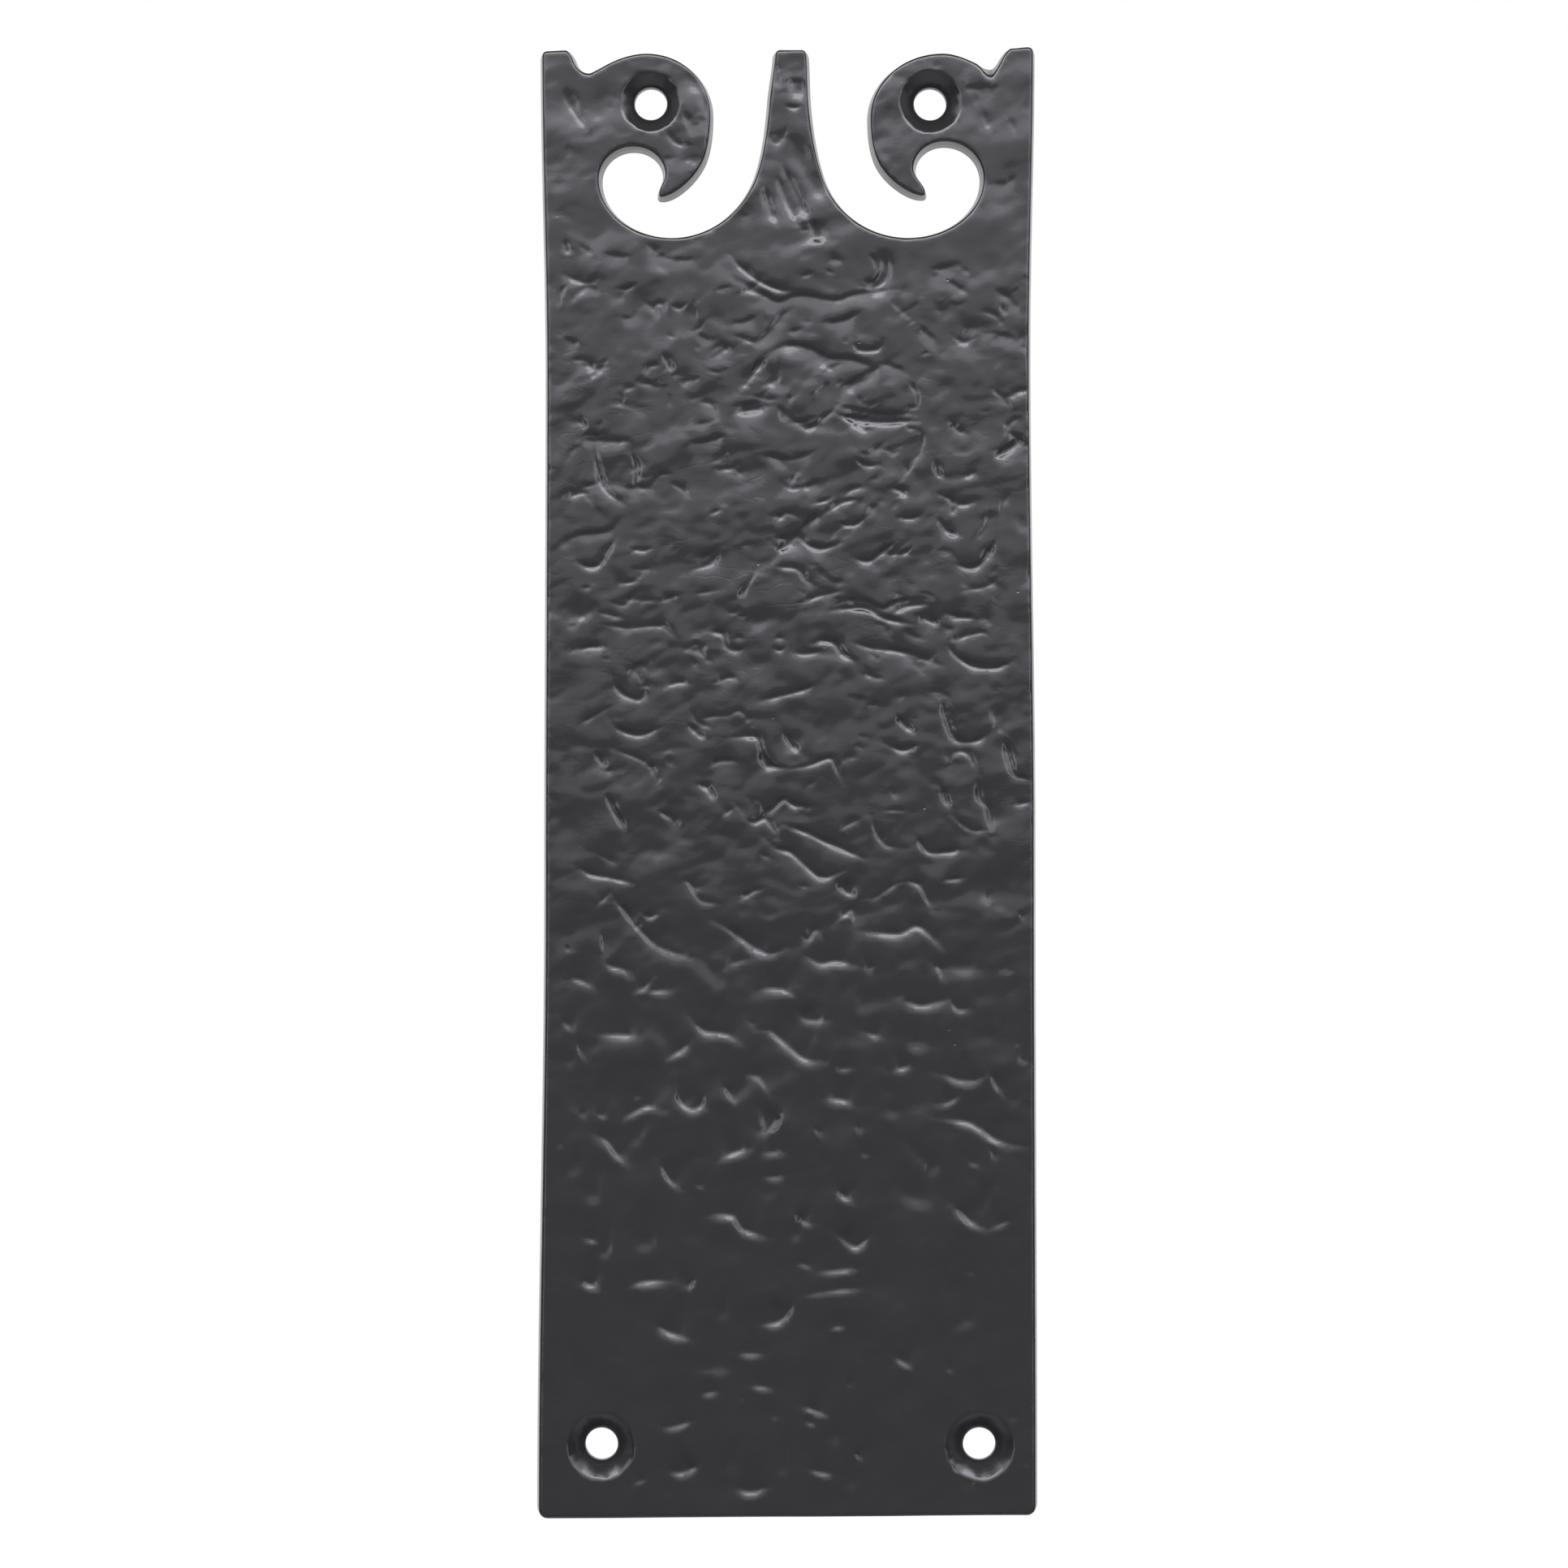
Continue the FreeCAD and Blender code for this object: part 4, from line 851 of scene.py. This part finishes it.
@dataclass(frozen=True)
class Lacquer:
    """Satin black lacquer over cast iron."""

    colour: tuple[float, float, float] = (0.015, 0.015, 0.0163)
    roughness: tuple[float, float] = (0.18, 0.25)
    peel_size: float = 0.55
    peel_depth: float = 0.012
    grain_size: float = 0.16
    grain_depth: float = 0.005
    crinkle_size: float = 2.6
    crinkle_depth: float = 0.012
    pit_spacing: float = 6.5
    pit_depth: float = 0.09

    def material(self) -> bpy.types.Material:
        """The finish as a material on Object coordinates.

        Returns:
            The material.
        """
        finish = bpy.data.materials.new("black_lacquer")
        finish.use_nodes = True
        nodes, links = finish.node_tree.nodes, finish.node_tree.links
        shader = nodes["Principled BSDF"]
        shader.inputs["Base Color"].default_value = (*self.colour, 1.0)
        shader.inputs["IOR"].default_value = 1.6
        shader.inputs["Specular Tint"].default_value = (0.93, 0.92, 1.0, 1.0)
        place = nodes.new("ShaderNodeTexCoord").outputs["Object"]

        def cloud(size: float, detail: float) -> bpy.types.NodeSocket:
            """A noise whose patches are about that many mm across."""
            node = nodes.new("ShaderNodeTexNoise")
            node.inputs["Scale"].default_value = 1 / (size * MM)
            node.inputs["Detail"].default_value = detail
            links.new(place, node.inputs["Vector"])
            return node.outputs["Fac"]

        gloss = nodes.new("ShaderNodeMapRange")
        gloss.inputs["From Min"].default_value = 0.3
        gloss.inputs["From Max"].default_value = 0.7
        gloss.inputs["To Min"].default_value = self.roughness[0]
        gloss.inputs["To Max"].default_value = self.roughness[1]
        links.new(cloud(6.0, 3.0), gloss.inputs["Value"])
        links.new(gloss.outputs["Result"], shader.inputs["Roughness"])

        pits = nodes.new("ShaderNodeTexVoronoi")
        pits.inputs["Scale"].default_value = 1 / (self.pit_spacing * MM)
        links.new(place, pits.inputs["Vector"])
        bowl = nodes.new("ShaderNodeMapRange")
        bowl.inputs["From Min"].default_value = 0.0
        bowl.inputs["From Max"].default_value = 0.035
        bowl.inputs["To Min"].default_value = 0.0
        bowl.inputs["To Max"].default_value = 1.0
        links.new(pits.outputs["Distance"], bowl.inputs["Value"])

        normal = None
        heights = (
            (self.crinkle(finish, place), self.crinkle_depth),
            (cloud(self.peel_size, 2.0), self.peel_depth),
            (cloud(self.grain_size, 1.0), self.grain_depth),
            (bowl.outputs["Result"], self.pit_depth),
        )
        for height, depth in heights:
            bump = nodes.new("ShaderNodeBump")
            bump.inputs["Strength"].default_value = 1.0
            bump.inputs["Distance"].default_value = depth * MM
            links.new(height, bump.inputs["Height"])
            if normal:
                links.new(normal, bump.inputs["Normal"])
            normal = bump.outputs["Normal"]
        links.new(normal, shader.inputs["Normal"])
        return finish

    def crinkle(self, finish: bpy.types.Material, place: bpy.types.NodeSocket) -> bpy.types.NodeSocket:
        """Height of a fine crinkle, broken creases that are too narrow for the mesh and fade toward the foot.

        Args:
            finish: The material whose nodes it joins.
            place: Object coordinates.

        Returns:
            The height, 0 in a crease and up to 1.
        """
        nodes, links = finish.node_tree.nodes, finish.node_tree.links

        def sum_up(operation: str, first: bpy.types.NodeSocket, second: bpy.types.NodeSocket | float) -> bpy.types.NodeSocket:
            """One step of arithmetic."""
            step = nodes.new("ShaderNodeMath")
            step.operation = operation
            step.use_clamp = operation != "SUBTRACT"
            links.new(first, step.inputs[0])
            if isinstance(second, float):
                step.inputs[1].default_value = second
            else:
                links.new(second, step.inputs[1])
            return step.outputs["Value"]

        flow = nodes.new("ShaderNodeTexNoise")
        flow.inputs["Scale"].default_value = 1 / (self.crinkle_size * MM)
        flow.inputs["Detail"].default_value = 1.0
        flow.inputs["Distortion"].default_value = 0.7
        stretch = nodes.new("ShaderNodeMapping")
        stretch.inputs["Scale"].default_value = (0.55, 1.0, 1.0)
        stretch.inputs["Rotation"].default_value = (0.0, math.radians(12.0), 0.0)
        links.new(place, stretch.inputs["Vector"])
        links.new(stretch.outputs["Vector"], flow.inputs["Vector"])
        level = sum_up("ABSOLUTE", sum_up("SUBTRACT", flow.outputs["Fac"], 0.5), 0.0)
        crease = sum_up("SUBTRACT", sum_up("MULTIPLY", level, 11.0), 1.0)
        patches = nodes.new("ShaderNodeTexNoise")
        patches.inputs["Scale"].default_value = 1 / (self.crinkle_size * 2.2 * MM)
        links.new(place, patches.inputs["Vector"])
        there = nodes.new("ShaderNodeMapRange")
        there.inputs["From Min"].default_value = 0.46
        there.inputs["From Max"].default_value = 0.60
        links.new(patches.outputs["Fac"], there.inputs["Value"])
        parts = nodes.new("ShaderNodeSeparateXYZ")
        links.new(place, parts.inputs["Vector"])
        fade = nodes.new("ShaderNodeMapRange")
        fade.inputs["From Min"].default_value = -70.0 * MM
        fade.inputs["From Max"].default_value = 30.0 * MM
        links.new(parts.outputs["Z"], fade.inputs["Value"])
        crest = nodes.new("ShaderNodeMapRange")
        crest.inputs["From Min"].default_value = 80.0 * MM
        crest.inputs["From Max"].default_value = 60.0 * MM
        links.new(parts.outputs["Z"], crest.inputs["Value"])
        share = sum_up("MULTIPLY", there.outputs["Result"], fade.outputs["Result"])
        share = sum_up("MULTIPLY", share, crest.outputs["Result"])
        deep = nodes.new("ShaderNodeMath")
        deep.operation = "MULTIPLY_ADD"
        deep.inputs[2].default_value = 1.0
        links.new(crease, deep.inputs[0])
        links.new(share, deep.inputs[1])
        return deep.outputs["Value"]


@dataclass(frozen=True)
class Paper:
    """Pale studio paper, which may be pure white wherever it is looked at or mirrored."""

    name: str
    colour: tuple[float, float, float] = (0.84, 0.84, 0.85)
    white_ground: bool = False

    def material(self) -> bpy.types.Material:
        """The finish as a material.

        Returns:
            The material.
        """
        finish = bpy.data.materials.new(self.name)
        finish.use_nodes = True
        nodes, links = finish.node_tree.nodes, finish.node_tree.links
        shader, output = nodes["Principled BSDF"], nodes["Material Output"]
        shader.inputs["Roughness"].default_value = 0.9
        grain = nodes.new("ShaderNodeTexNoise")
        grain.inputs["Scale"].default_value = 900.0
        tone = nodes.new("ShaderNodeMix")
        tone.data_type = "RGBA"
        tone.inputs["A"].default_value = (*(0.985 * c for c in self.colour), 1.0)
        tone.inputs["B"].default_value = (*self.colour, 1.0)
        place = nodes.new("ShaderNodeTexCoord")
        links.new(place.outputs["Object"], grain.inputs["Vector"])
        links.new(grain.outputs["Fac"], tone.inputs["Factor"])
        links.new(tone.outputs["Result"], shader.inputs["Base Color"])
        if self.white_ground:
            ray = nodes.new("ShaderNodeLightPath")
            seen = ray.outputs["Is Camera Ray"]
            for other in ("Is Glossy Ray", "Is Transmission Ray"):
                either = nodes.new("ShaderNodeMath")
                either.operation = "MAXIMUM"
                links.new(seen, either.inputs[0])
                links.new(ray.outputs[other], either.inputs[1])
                seen = either.outputs["Value"]
            white = nodes.new("ShaderNodeEmission")
            mix = nodes.new("ShaderNodeMixShader")
            links.new(seen, mix.inputs["Fac"])
            links.new(shader.outputs["BSDF"], mix.inputs[1])
            links.new(white.outputs["Emission"], mix.inputs[2])
            links.new(mix.outputs["Shader"], output.inputs["Surface"])
        return finish


def only(piece: bpy.types.Object) -> None:
    """Makes a piece the only one selected, and active."""
    bpy.ops.object.select_all(action="DESELECT")
    piece.select_set(True)
    bpy.context.view_layer.objects.active = piece


def mark_faces(piece: bpy.types.Object, chosen: np.ndarray) -> None:
    """Selects just these faces of a piece that is in object mode.

    Args:
        piece: The piece.
        chosen: True for each face to select.
    """
    mesh = piece.data
    mesh.vertices.foreach_set("select", np.zeros(len(mesh.vertices), bool))
    mesh.edges.foreach_set("select", np.zeros(len(mesh.edges), bool))
    mesh.polygons.foreach_set("select", chosen)


def mark_edges(piece: bpy.types.Object, chosen: list[bool]) -> None:
    """Selects just these edges of a piece that is in object mode.

    Args:
        piece: The piece.
        chosen: True for each edge to select.
    """
    mesh = piece.data
    mesh.polygons.foreach_set("select", [False] * len(mesh.polygons))
    mesh.vertices.foreach_set("select", [False] * len(mesh.vertices))
    mesh.edges.foreach_set("select", chosen)
    for edge in mesh.edges:
        if edge.select:
            for index in edge.vertices:
                mesh.vertices[index].select = True


def edge_middle(piece: bpy.types.Object, edge: bpy.types.MeshEdge) -> Vector:
    """The middle of an edge."""
    start, end = (piece.data.vertices[index].co for index in edge.vertices)
    return (start + end) / 2


@dataclass
class Countersink:
    """One countersunk screw hole, cut from the front with a soft lip."""

    across: float
    up: float
    rim: float
    bore: float = 5.05
    face: float = 4.0
    lip: float = 0.34
    chip: float = 0.16
    chip_size: float = 1.3
    sides: int = 96

    def cutter(self) -> bpy.types.Object:
        """The space of the hole as a closed solid: a cylinder drawn out ring by ring to the cone and its lip.

        Returns:
            The solid, its place in its mesh.
        """
        bore, rim = self.bore / 2 * MM, self.rim / 2 * MM
        centre = Vector((self.across * MM, 0.0, self.up * MM))
        cone_foot = (self.face - (self.rim - self.bore) / 2) * MM
        bpy.ops.object.select_all(action="DESELECT")
        bpy.ops.mesh.primitive_cylinder_add(
            vertices=self.sides, radius=bore, depth=cone_foot - 0.2 * MM + 1.0 * MM, rotation=(math.pi / 2, 0.0, 0.0),
            location=centre + Vector((0.0, (1.0 * MM - cone_foot + 0.2 * MM) / 2, 0.0)),
        )
        piece = bpy.context.object
        piece.name = "hole_space"
        bpy.ops.object.transform_apply(location=True, rotation=True, scale=True)
        lip = self.lip * MM
        face = self.face * MM
        rings = [
            (bore + 0.06 * MM, cone_foot - 0.02 * MM),
            (bore + 0.2 * MM, cone_foot + 0.16 * MM),
            (bore + (rim - bore) * 0.45, cone_foot + (face - cone_foot) * 0.45),
            (rim - 1.2 * lip, face - 1.2 * lip),
            (rim - 0.7 * lip, face - 0.72 * lip),
            (rim - 0.36 * lip, face - 0.48 * lip),
            (rim + 0.02 * lip, face - 0.26 * lip),
            (rim + 0.45 * lip, face - 0.09 * lip),
            (rim + lip, face),
            (rim + lip, face + 1.0 * MM),
        ]
        mesh = piece.data
        front = min(polygon.center.y for polygon in mesh.polygons)
        mark_faces(piece, np.array([polygon.center.y < front + 1e-6 for polygon in mesh.polygons]))
        bpy.ops.object.mode_set(mode="EDIT")
        bpy.ops.mesh.select_mode(type="FACE")
        radius, level = bore, -front
        for next_radius, next_level in rings:
            bpy.ops.mesh.extrude_region_move(TRANSFORM_OT_translate={"value": (0.0, level - next_level, 0.0)})
            scale = next_radius / radius
            middle = centre + Vector((0.0, -next_level, 0.0))
            bpy.ops.transform.resize(value=(scale, 1.0, scale), center_override=middle)
            radius, level = next_radius, next_level
        bpy.ops.object.mode_set(mode="OBJECT")
        for vertex in mesh.vertices:
            arm = vertex.co - centre
            arm.y = 0.0
            if arm.length > bore * 1.3:
                vertex.co += arm.normalized() * noise.noise(vertex.co / (self.chip_size * MM)) * self.chip * MM
        return piece


@dataclass
class Casting:
    """The whole plate: leaning walls, a rounded front edge, countersunk holes and the cast relief."""

    outline: Outline
    relief: Relief
    finish: Lacquer
    thickness: float = 4.0
    draft: float = 0.45
    edge_radius: float = 0.6
    edge_steps: int = 4
    back_edge: float = 0.12
    columns: float = 0.62
    rows: tuple[float, float] = (0.5, 0.75)
    rows_change: float = -22.0
    fine_within: float = 0.62
    join_within: float = 0.004
    relief_root: float = 1.5

    def levels(self) -> list[tuple[float, float]]:
        """The rings of the wall and its rounded front edge, as (inset, depth in front of the back)."""
        spring = self.thickness - self.edge_radius
        rings = [(self.back_edge, 0.0), (0.0, self.back_edge)]
        rings += [(self.draft * share, spring * share) for share in (0.5, 0.92)]
        for step in range(self.edge_steps + 1):
            angle = math.radians(90 * step / self.edge_steps)
            rings.append((
                self.draft + self.edge_radius * (1 - math.cos(angle)),
                spring + self.edge_radius * math.sin(angle),
            ))
        return rings

    def build(self) -> bpy.types.Object:
        """Models the casting.

        Returns:
            The finished piece.
        """
        piece = self.draw_body()
        self.drill(piece)
        self.lay_lattice(piece)
        self.refine(piece)
        self.join_points(piece)
        self.cast(piece)
        self.dress(piece)
        return piece

    def draw_body(self) -> bpy.types.Object:
        """The plate as drawn, flat in front: rings bridged one to the next, with a face at either end."""
        points, edges = [], []
        for inset, level in self.levels():
            ring = self.outline.ring(inset)
            start = len(points)
            points += [(x * MM, -level * MM, z * MM) for x, z in ring]
            edges += [(start + i, start + (i + 1) % len(ring)) for i in range(len(ring))]
        mesh = bpy.data.meshes.new("casting")
        mesh.from_pydata(points, edges, [])
        piece = bpy.data.objects.new("casting", mesh)
        bpy.context.scene.collection.objects.link(piece)
        only(piece)
        bpy.ops.object.mode_set(mode="EDIT")
        bpy.ops.mesh.select_mode(type="EDGE")
        bpy.ops.mesh.select_all(action="SELECT")
        bpy.ops.mesh.bridge_edge_loops()
        bpy.ops.mesh.select_mode(type="EDGE")
        bpy.ops.mesh.select_all(action="DESELECT")
        bpy.ops.mesh.select_non_manifold()
        bpy.ops.mesh.edge_face_add()
        bpy.ops.mesh.select_all(action="SELECT")
        bpy.ops.mesh.normals_make_consistent(inside=False)
        bpy.ops.object.mode_set(mode="OBJECT")
        return piece

    def drill(self, piece: bpy.types.Object) -> None:
        """Cuts the four countersunk holes."""
        edge, top = self.outline.width / 2, self.outline.height / 2
        for way, half in ((-1, LEFT), (1, RIGHT)):
            for inward, up, rim in ((half.eye_in, top - 9.1, half.eye_rim), (half.toe_in, 11.6 - top, half.toe_rim)):
                hole = Countersink(way * (edge - inward), up, rim, face=self.thickness).cutter()
                only(piece)
                cut = piece.modifiers.new("hole", "BOOLEAN")
                cut.operation = "DIFFERENCE"
                cut.solver = "EXACT"
                cut.object = hole
                bpy.ops.object.modifier_apply(modifier=cut.name)
                bpy.data.objects.remove(hole)

    def front_faces(self, piece: bpy.types.Object) -> np.ndarray:
        """Which faces lie on the flat front."""
        mesh = piece.data
        centres = np.empty(len(mesh.polygons) * 3, np.float32)
        mesh.polygons.foreach_get("center", centres)
        normals = np.empty(len(mesh.polygons) * 3, np.float32)
        mesh.polygons.foreach_get("normal", normals)
        level = centres.reshape(-1, 3)[:, 1] < (-self.thickness + 0.002) * MM
        return level & (np.abs(normals.reshape(-1, 3)[:, 1]) > 0.999)

    def lay_lattice(self, piece: bpy.types.Object) -> None:
        """Divides the flat front by bisecting it both ways, with all else hidden."""
        mark_faces(piece, ~self.front_faces(piece))
        only(piece)
        bpy.ops.object.mode_set(mode="EDIT")
        bpy.ops.mesh.select_mode(type="FACE")
        bpy.ops.mesh.hide(unselected=False)
        top, side = self.outline.height / 2 + 1.0, self.outline.width / 2
        levels = [*np.arange(self.rows_change, top, self.rows[0]), *np.arange(self.rows_change, -top, -self.rows[1])]
        places = [(Vector((0, 0, 1)), level) for level in levels]
        places += [(Vector((1, 0, 0)), across) for across in np.arange(-side, side, self.columns)]
        for normal, place in places:
            bpy.ops.mesh.select_all(action="SELECT")
            bpy.ops.mesh.bisect(plane_co=normal * place * MM, plane_no=normal, threshold=1e-8)
        bpy.ops.mesh.select_all(action="SELECT")
        bpy.ops.mesh.dissolve_degenerate(threshold=0.05 * MM)
        bpy.ops.mesh.reveal(select=False)
        bpy.ops.object.mode_set(mode="OBJECT")

    def refine(self, piece: bpy.types.Object) -> None:
        """Halves the lattice wherever a mark runs."""
        mesh = piece.data
        centres = np.empty(len(mesh.polygons) * 3, np.float32)
        mesh.polygons.foreach_get("center", centres)
        x, _, z = centres.reshape(-1, 3).T.astype(float) / MM
        close = np.zeros(len(x), bool)
        ripples = [mark for mark in self.relief.ripples() if mark[1] > 0.13 and mark[2][1] > 0.0]
        for stroke, _, *line in MAIN_MARKS + FINE_MARKS + ripples:
            if stroke is FOLD:
                continue
            for (ax, az), (bx, bz) in zip(line, line[1:]):
                length = math.hypot(bx - ax, bz - az)
                dx, dz = (bx - ax) / length, (bz - az) / length
                along = np.clip((x - ax) * dx + (z - az) * dz, 0.0, length)
                close |= np.hypot(x - ax - dx * along, z - az - dz * along) < self.fine_within
        mark_faces(piece, close & self.front_faces(piece))
        only(piece)
        bpy.ops.object.mode_set(mode="EDIT")
        bpy.ops.mesh.select_mode(type="FACE")
        bpy.ops.mesh.subdivide(number_cuts=1)
        bpy.ops.object.mode_set(mode="OBJECT")

    def join_points(self, piece: bpy.types.Object) -> None:
        """Joins the points that the bisecting left all but together along the countersinks' lips."""
        only(piece)
        bpy.ops.object.mode_set(mode="EDIT")
        bpy.ops.mesh.select_mode(type="VERT")
        bpy.ops.mesh.select_all(action="SELECT")
        bpy.ops.mesh.remove_doubles(threshold=self.join_within * MM)
        bpy.ops.mesh.fill_holes(sides=4)
        bpy.ops.object.mode_set(mode="OBJECT")

    def cast(self, piece: bpy.types.Object) -> None:
        """Sinks the front to the relief. The rounded edge and the tops of the cones go with it, less and less."""
        mesh = piece.data
        places = np.empty(len(mesh.vertices) * 3, np.float32)
        mesh.vertices.foreach_get("co", places)
        places = places.reshape(-1, 3)
        x, y, z = places.T.astype(float) / MM
        share = np.clip((-y - self.thickness + self.relief_root) / self.relief_root, 0.0, 1.0)
        moved = share > 0
        sunk = self.relief.depth(x[moved], z[moved])
        places[moved, 1] += (sunk * share[moved] * MM).astype(np.float32)
        mesh.vertices.foreach_set("co", places.ravel())
        mesh.update()

    def dress(self, piece: bpy.types.Object) -> None:
        """Smooth shading with sharp corners kept, and the finish."""
        only(piece)
        bpy.ops.object.shade_smooth_by_angle(angle=math.radians(58))
        mark_faces(piece, np.array([polygon.center.y > -1e-6 for polygon in piece.data.polygons]))
        bpy.ops.object.mode_set(mode="EDIT")
        bpy.ops.mesh.select_mode(type="FACE")
        bpy.ops.mesh.region_to_loop()
        bpy.ops.mesh.mark_sharp()
        bpy.ops.object.mode_set(mode="OBJECT")
        piece.data.materials.clear()
        piece.data.materials.append(self.finish.material())
        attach(piece, "root")
        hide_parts(NODE)


@dataclass(frozen=True)
class Softbox:
    """One soft lamp, aimed at a point of the plate."""

    name: str
    place: tuple[float, float, float]
    size: tuple[float, float]
    radiance: float
    aim: tuple[float, float, float] = (0.0, 0.0, 0.0)

    def build(self) -> bpy.types.Object:
        """Sets the lamp up.

        Returns:
            The lamp.
        """
        lamp = bpy.data.lights.new(self.name, "AREA")
        lamp.shape = "RECTANGLE"
        lamp.size, lamp.size_y = self.size
        lamp.energy = self.radiance * math.pi * self.size[0] * self.size[1]
        box = bpy.data.objects.new(self.name, lamp)
        box.location = self.place
        box.rotation_euler = (Vector(self.aim) - Vector(self.place)).to_track_quat("-Z", "Y").to_euler()
        bpy.context.scene.collection.objects.link(box)
        return box


@dataclass
class Studio:
    """Floor, backdrop, lamps, world and camera."""

    floor_drop: float = 1.3
    backdrop_back: float = 1.2
    backdrop_side: float = 1.6
    backdrop_height: float = 2.6
    world_level: float = 0.08
    camera_place: tuple[float, float, float] = (-0.000509, -0.575, -0.000286)
    camera_lens: float = 84.3
    lamps: tuple[Softbox, ...] = (
        Softbox("key_softbox", (0.0, -0.70, 0.775), (1.7, 0.36), 6.6),
        Softbox("left_softbox", (-0.75, -1.2, 0.10), (0.22, 0.9), 2.6),
        Softbox("right_softbox", (0.75, -1.2, 0.10), (0.22, 0.9), 2.6),
        Softbox("upper_left_softbox", (-1.05, -0.75, 0.55), (0.5, 0.9), 2.6),
        Softbox("upper_right_softbox", (1.05, -0.75, 0.55), (0.5, 0.9), 2.6),
        Softbox("high_softbox", (0.0, -1.40, 0.85), (2.4, 0.8), 1.4, (0.0, 0.0, 0.85)),
        Softbox("front_softbox", (0.0, -1.41, 0.64), (2.4, 1.24), 0.66, (0.0, 0.0, 0.64)),
        Softbox("low_softbox", (0.0, -1.42, 0.24), (2.4, 2.08), 0.27, (0.0, 0.0, 0.24)),
    )

    def build(self) -> None:
        """Sets the whole studio up."""
        floor = self.floor()
        floor.data.materials.append(Paper("floor_paper").material())
        wall = self.backdrop()
        wall.data.materials.append(Paper("backdrop_paper", white_ground=True).material())
        wall.data.materials.append(Paper("wing_paper").material())
        for polygon in wall.data.polygons:
            polygon.material_index = int(abs(polygon.normal.x) > 0.3)
        for lamp in self.lamps:
            lamp.build()
        self.set_world()
        self.set_camera()

    def floor(self) -> bpy.types.Object:
        """A pale floor well below the plate."""
        bpy.ops.object.select_all(action="DESELECT")
        bpy.ops.mesh.primitive_plane_add(size=9.0, location=(0.0, self.backdrop_back - 4.5, -self.floor_drop))
        piece = bpy.context.object
        piece.name = piece.data.name = "studio_floor"
        bpy.ops.object.transform_apply(location=True, rotation=True, scale=True)
        bpy.ops.object.mode_set(mode="EDIT")
        bpy.ops.mesh.select_all(action="SELECT")
        bpy.ops.mesh.subdivide(number_cuts=7)
        bpy.ops.object.mode_set(mode="OBJECT")
        return piece

    def backdrop(self) -> bpy.types.Object:
        """A backdrop that stands on the floor behind the plate and turns forward on either side of it."""
        side, back = self.backdrop_side, self.backdrop_back
        bpy.ops.object.select_all(action="DESELECT")
        bpy.ops.mesh.primitive_plane_add(
            size=1.0, rotation=(math.pi / 2, 0.0, 0.0),
            location=(0.0, back, self.backdrop_height / 2 - self.floor_drop),
        )
        piece = bpy.context.object
        piece.name = piece.data.name = "studio_backdrop"
        piece.scale = (2 * side, self.backdrop_height, 1.0)
        bpy.ops.object.transform_apply(location=True, rotation=True, scale=True)
        edges = piece.data.edges
        ends = [abs(edge_middle(piece, edge).x) > side - 0.001 for edge in edges]
        mark_edges(piece, ends)
        bpy.ops.object.mode_set(mode="EDIT")
        bpy.ops.mesh.select_mode(type="EDGE")
        bpy.ops.mesh.extrude_region_move(TRANSFORM_OT_translate={"value": (0.0, -1.5, 0.0)})
        bpy.ops.object.mode_set(mode="OBJECT")
        mark_edges(piece, [
            abs(edge_middle(piece, edge).x) > side - 0.001 and abs(edge_middle(piece, edge).y - back) < 0.001
            for edge in piece.data.edges
        ])
        bpy.ops.object.mode_set(mode="EDIT")
        bpy.ops.mesh.bevel(offset=0.35, segments=10)
        bpy.ops.object.mode_set(mode="OBJECT")
        bpy.ops.object.shade_smooth()
        return piece

    def set_world(self) -> None:
        """A plain grey surround."""
        world = bpy.data.worlds.new("studio")
        world.use_nodes = True
        world.node_tree.nodes["Background"].inputs["Color"].default_value = (1.0, 1.0, 1.0, 1.0)
        world.node_tree.nodes["Background"].inputs["Strength"].default_value = self.world_level
        bpy.context.scene.world = world

    def set_camera(self) -> None:
        """The camera, square on to the plate."""
        lens = bpy.data.cameras.new("camera")
        lens.sensor_width = 36.0
        lens.lens = self.camera_lens
        lens.clip_start, lens.clip_end = 0.01, 20.0
        camera = bpy.data.objects.new("camera", lens)
        camera.location = self.camera_place
        camera.rotation_euler = (math.pi / 2, 0.0, 0.0)
        bpy.context.scene.collection.objects.link(camera)
        bpy.context.scene.camera = camera
        bpy.context.scene.view_settings.view_transform = "Standard"


def main() -> None:
    """Builds the plate and the studio in order."""
    logging.basicConfig(level=logging.INFO, format="%(message)s")
    piece = Casting(Outline(), Relief(), Lacquer()).build()
    piece.data.calc_loop_triangles()
    log.info("%s: %d faces, %d triangles", piece.name, len(piece.data.polygons), len(piece.data.loop_triangles))
    Studio().build()
    log.info("studio: %d lamps", len(bpy.data.lights))


if __name__ == "__main__":
    main()
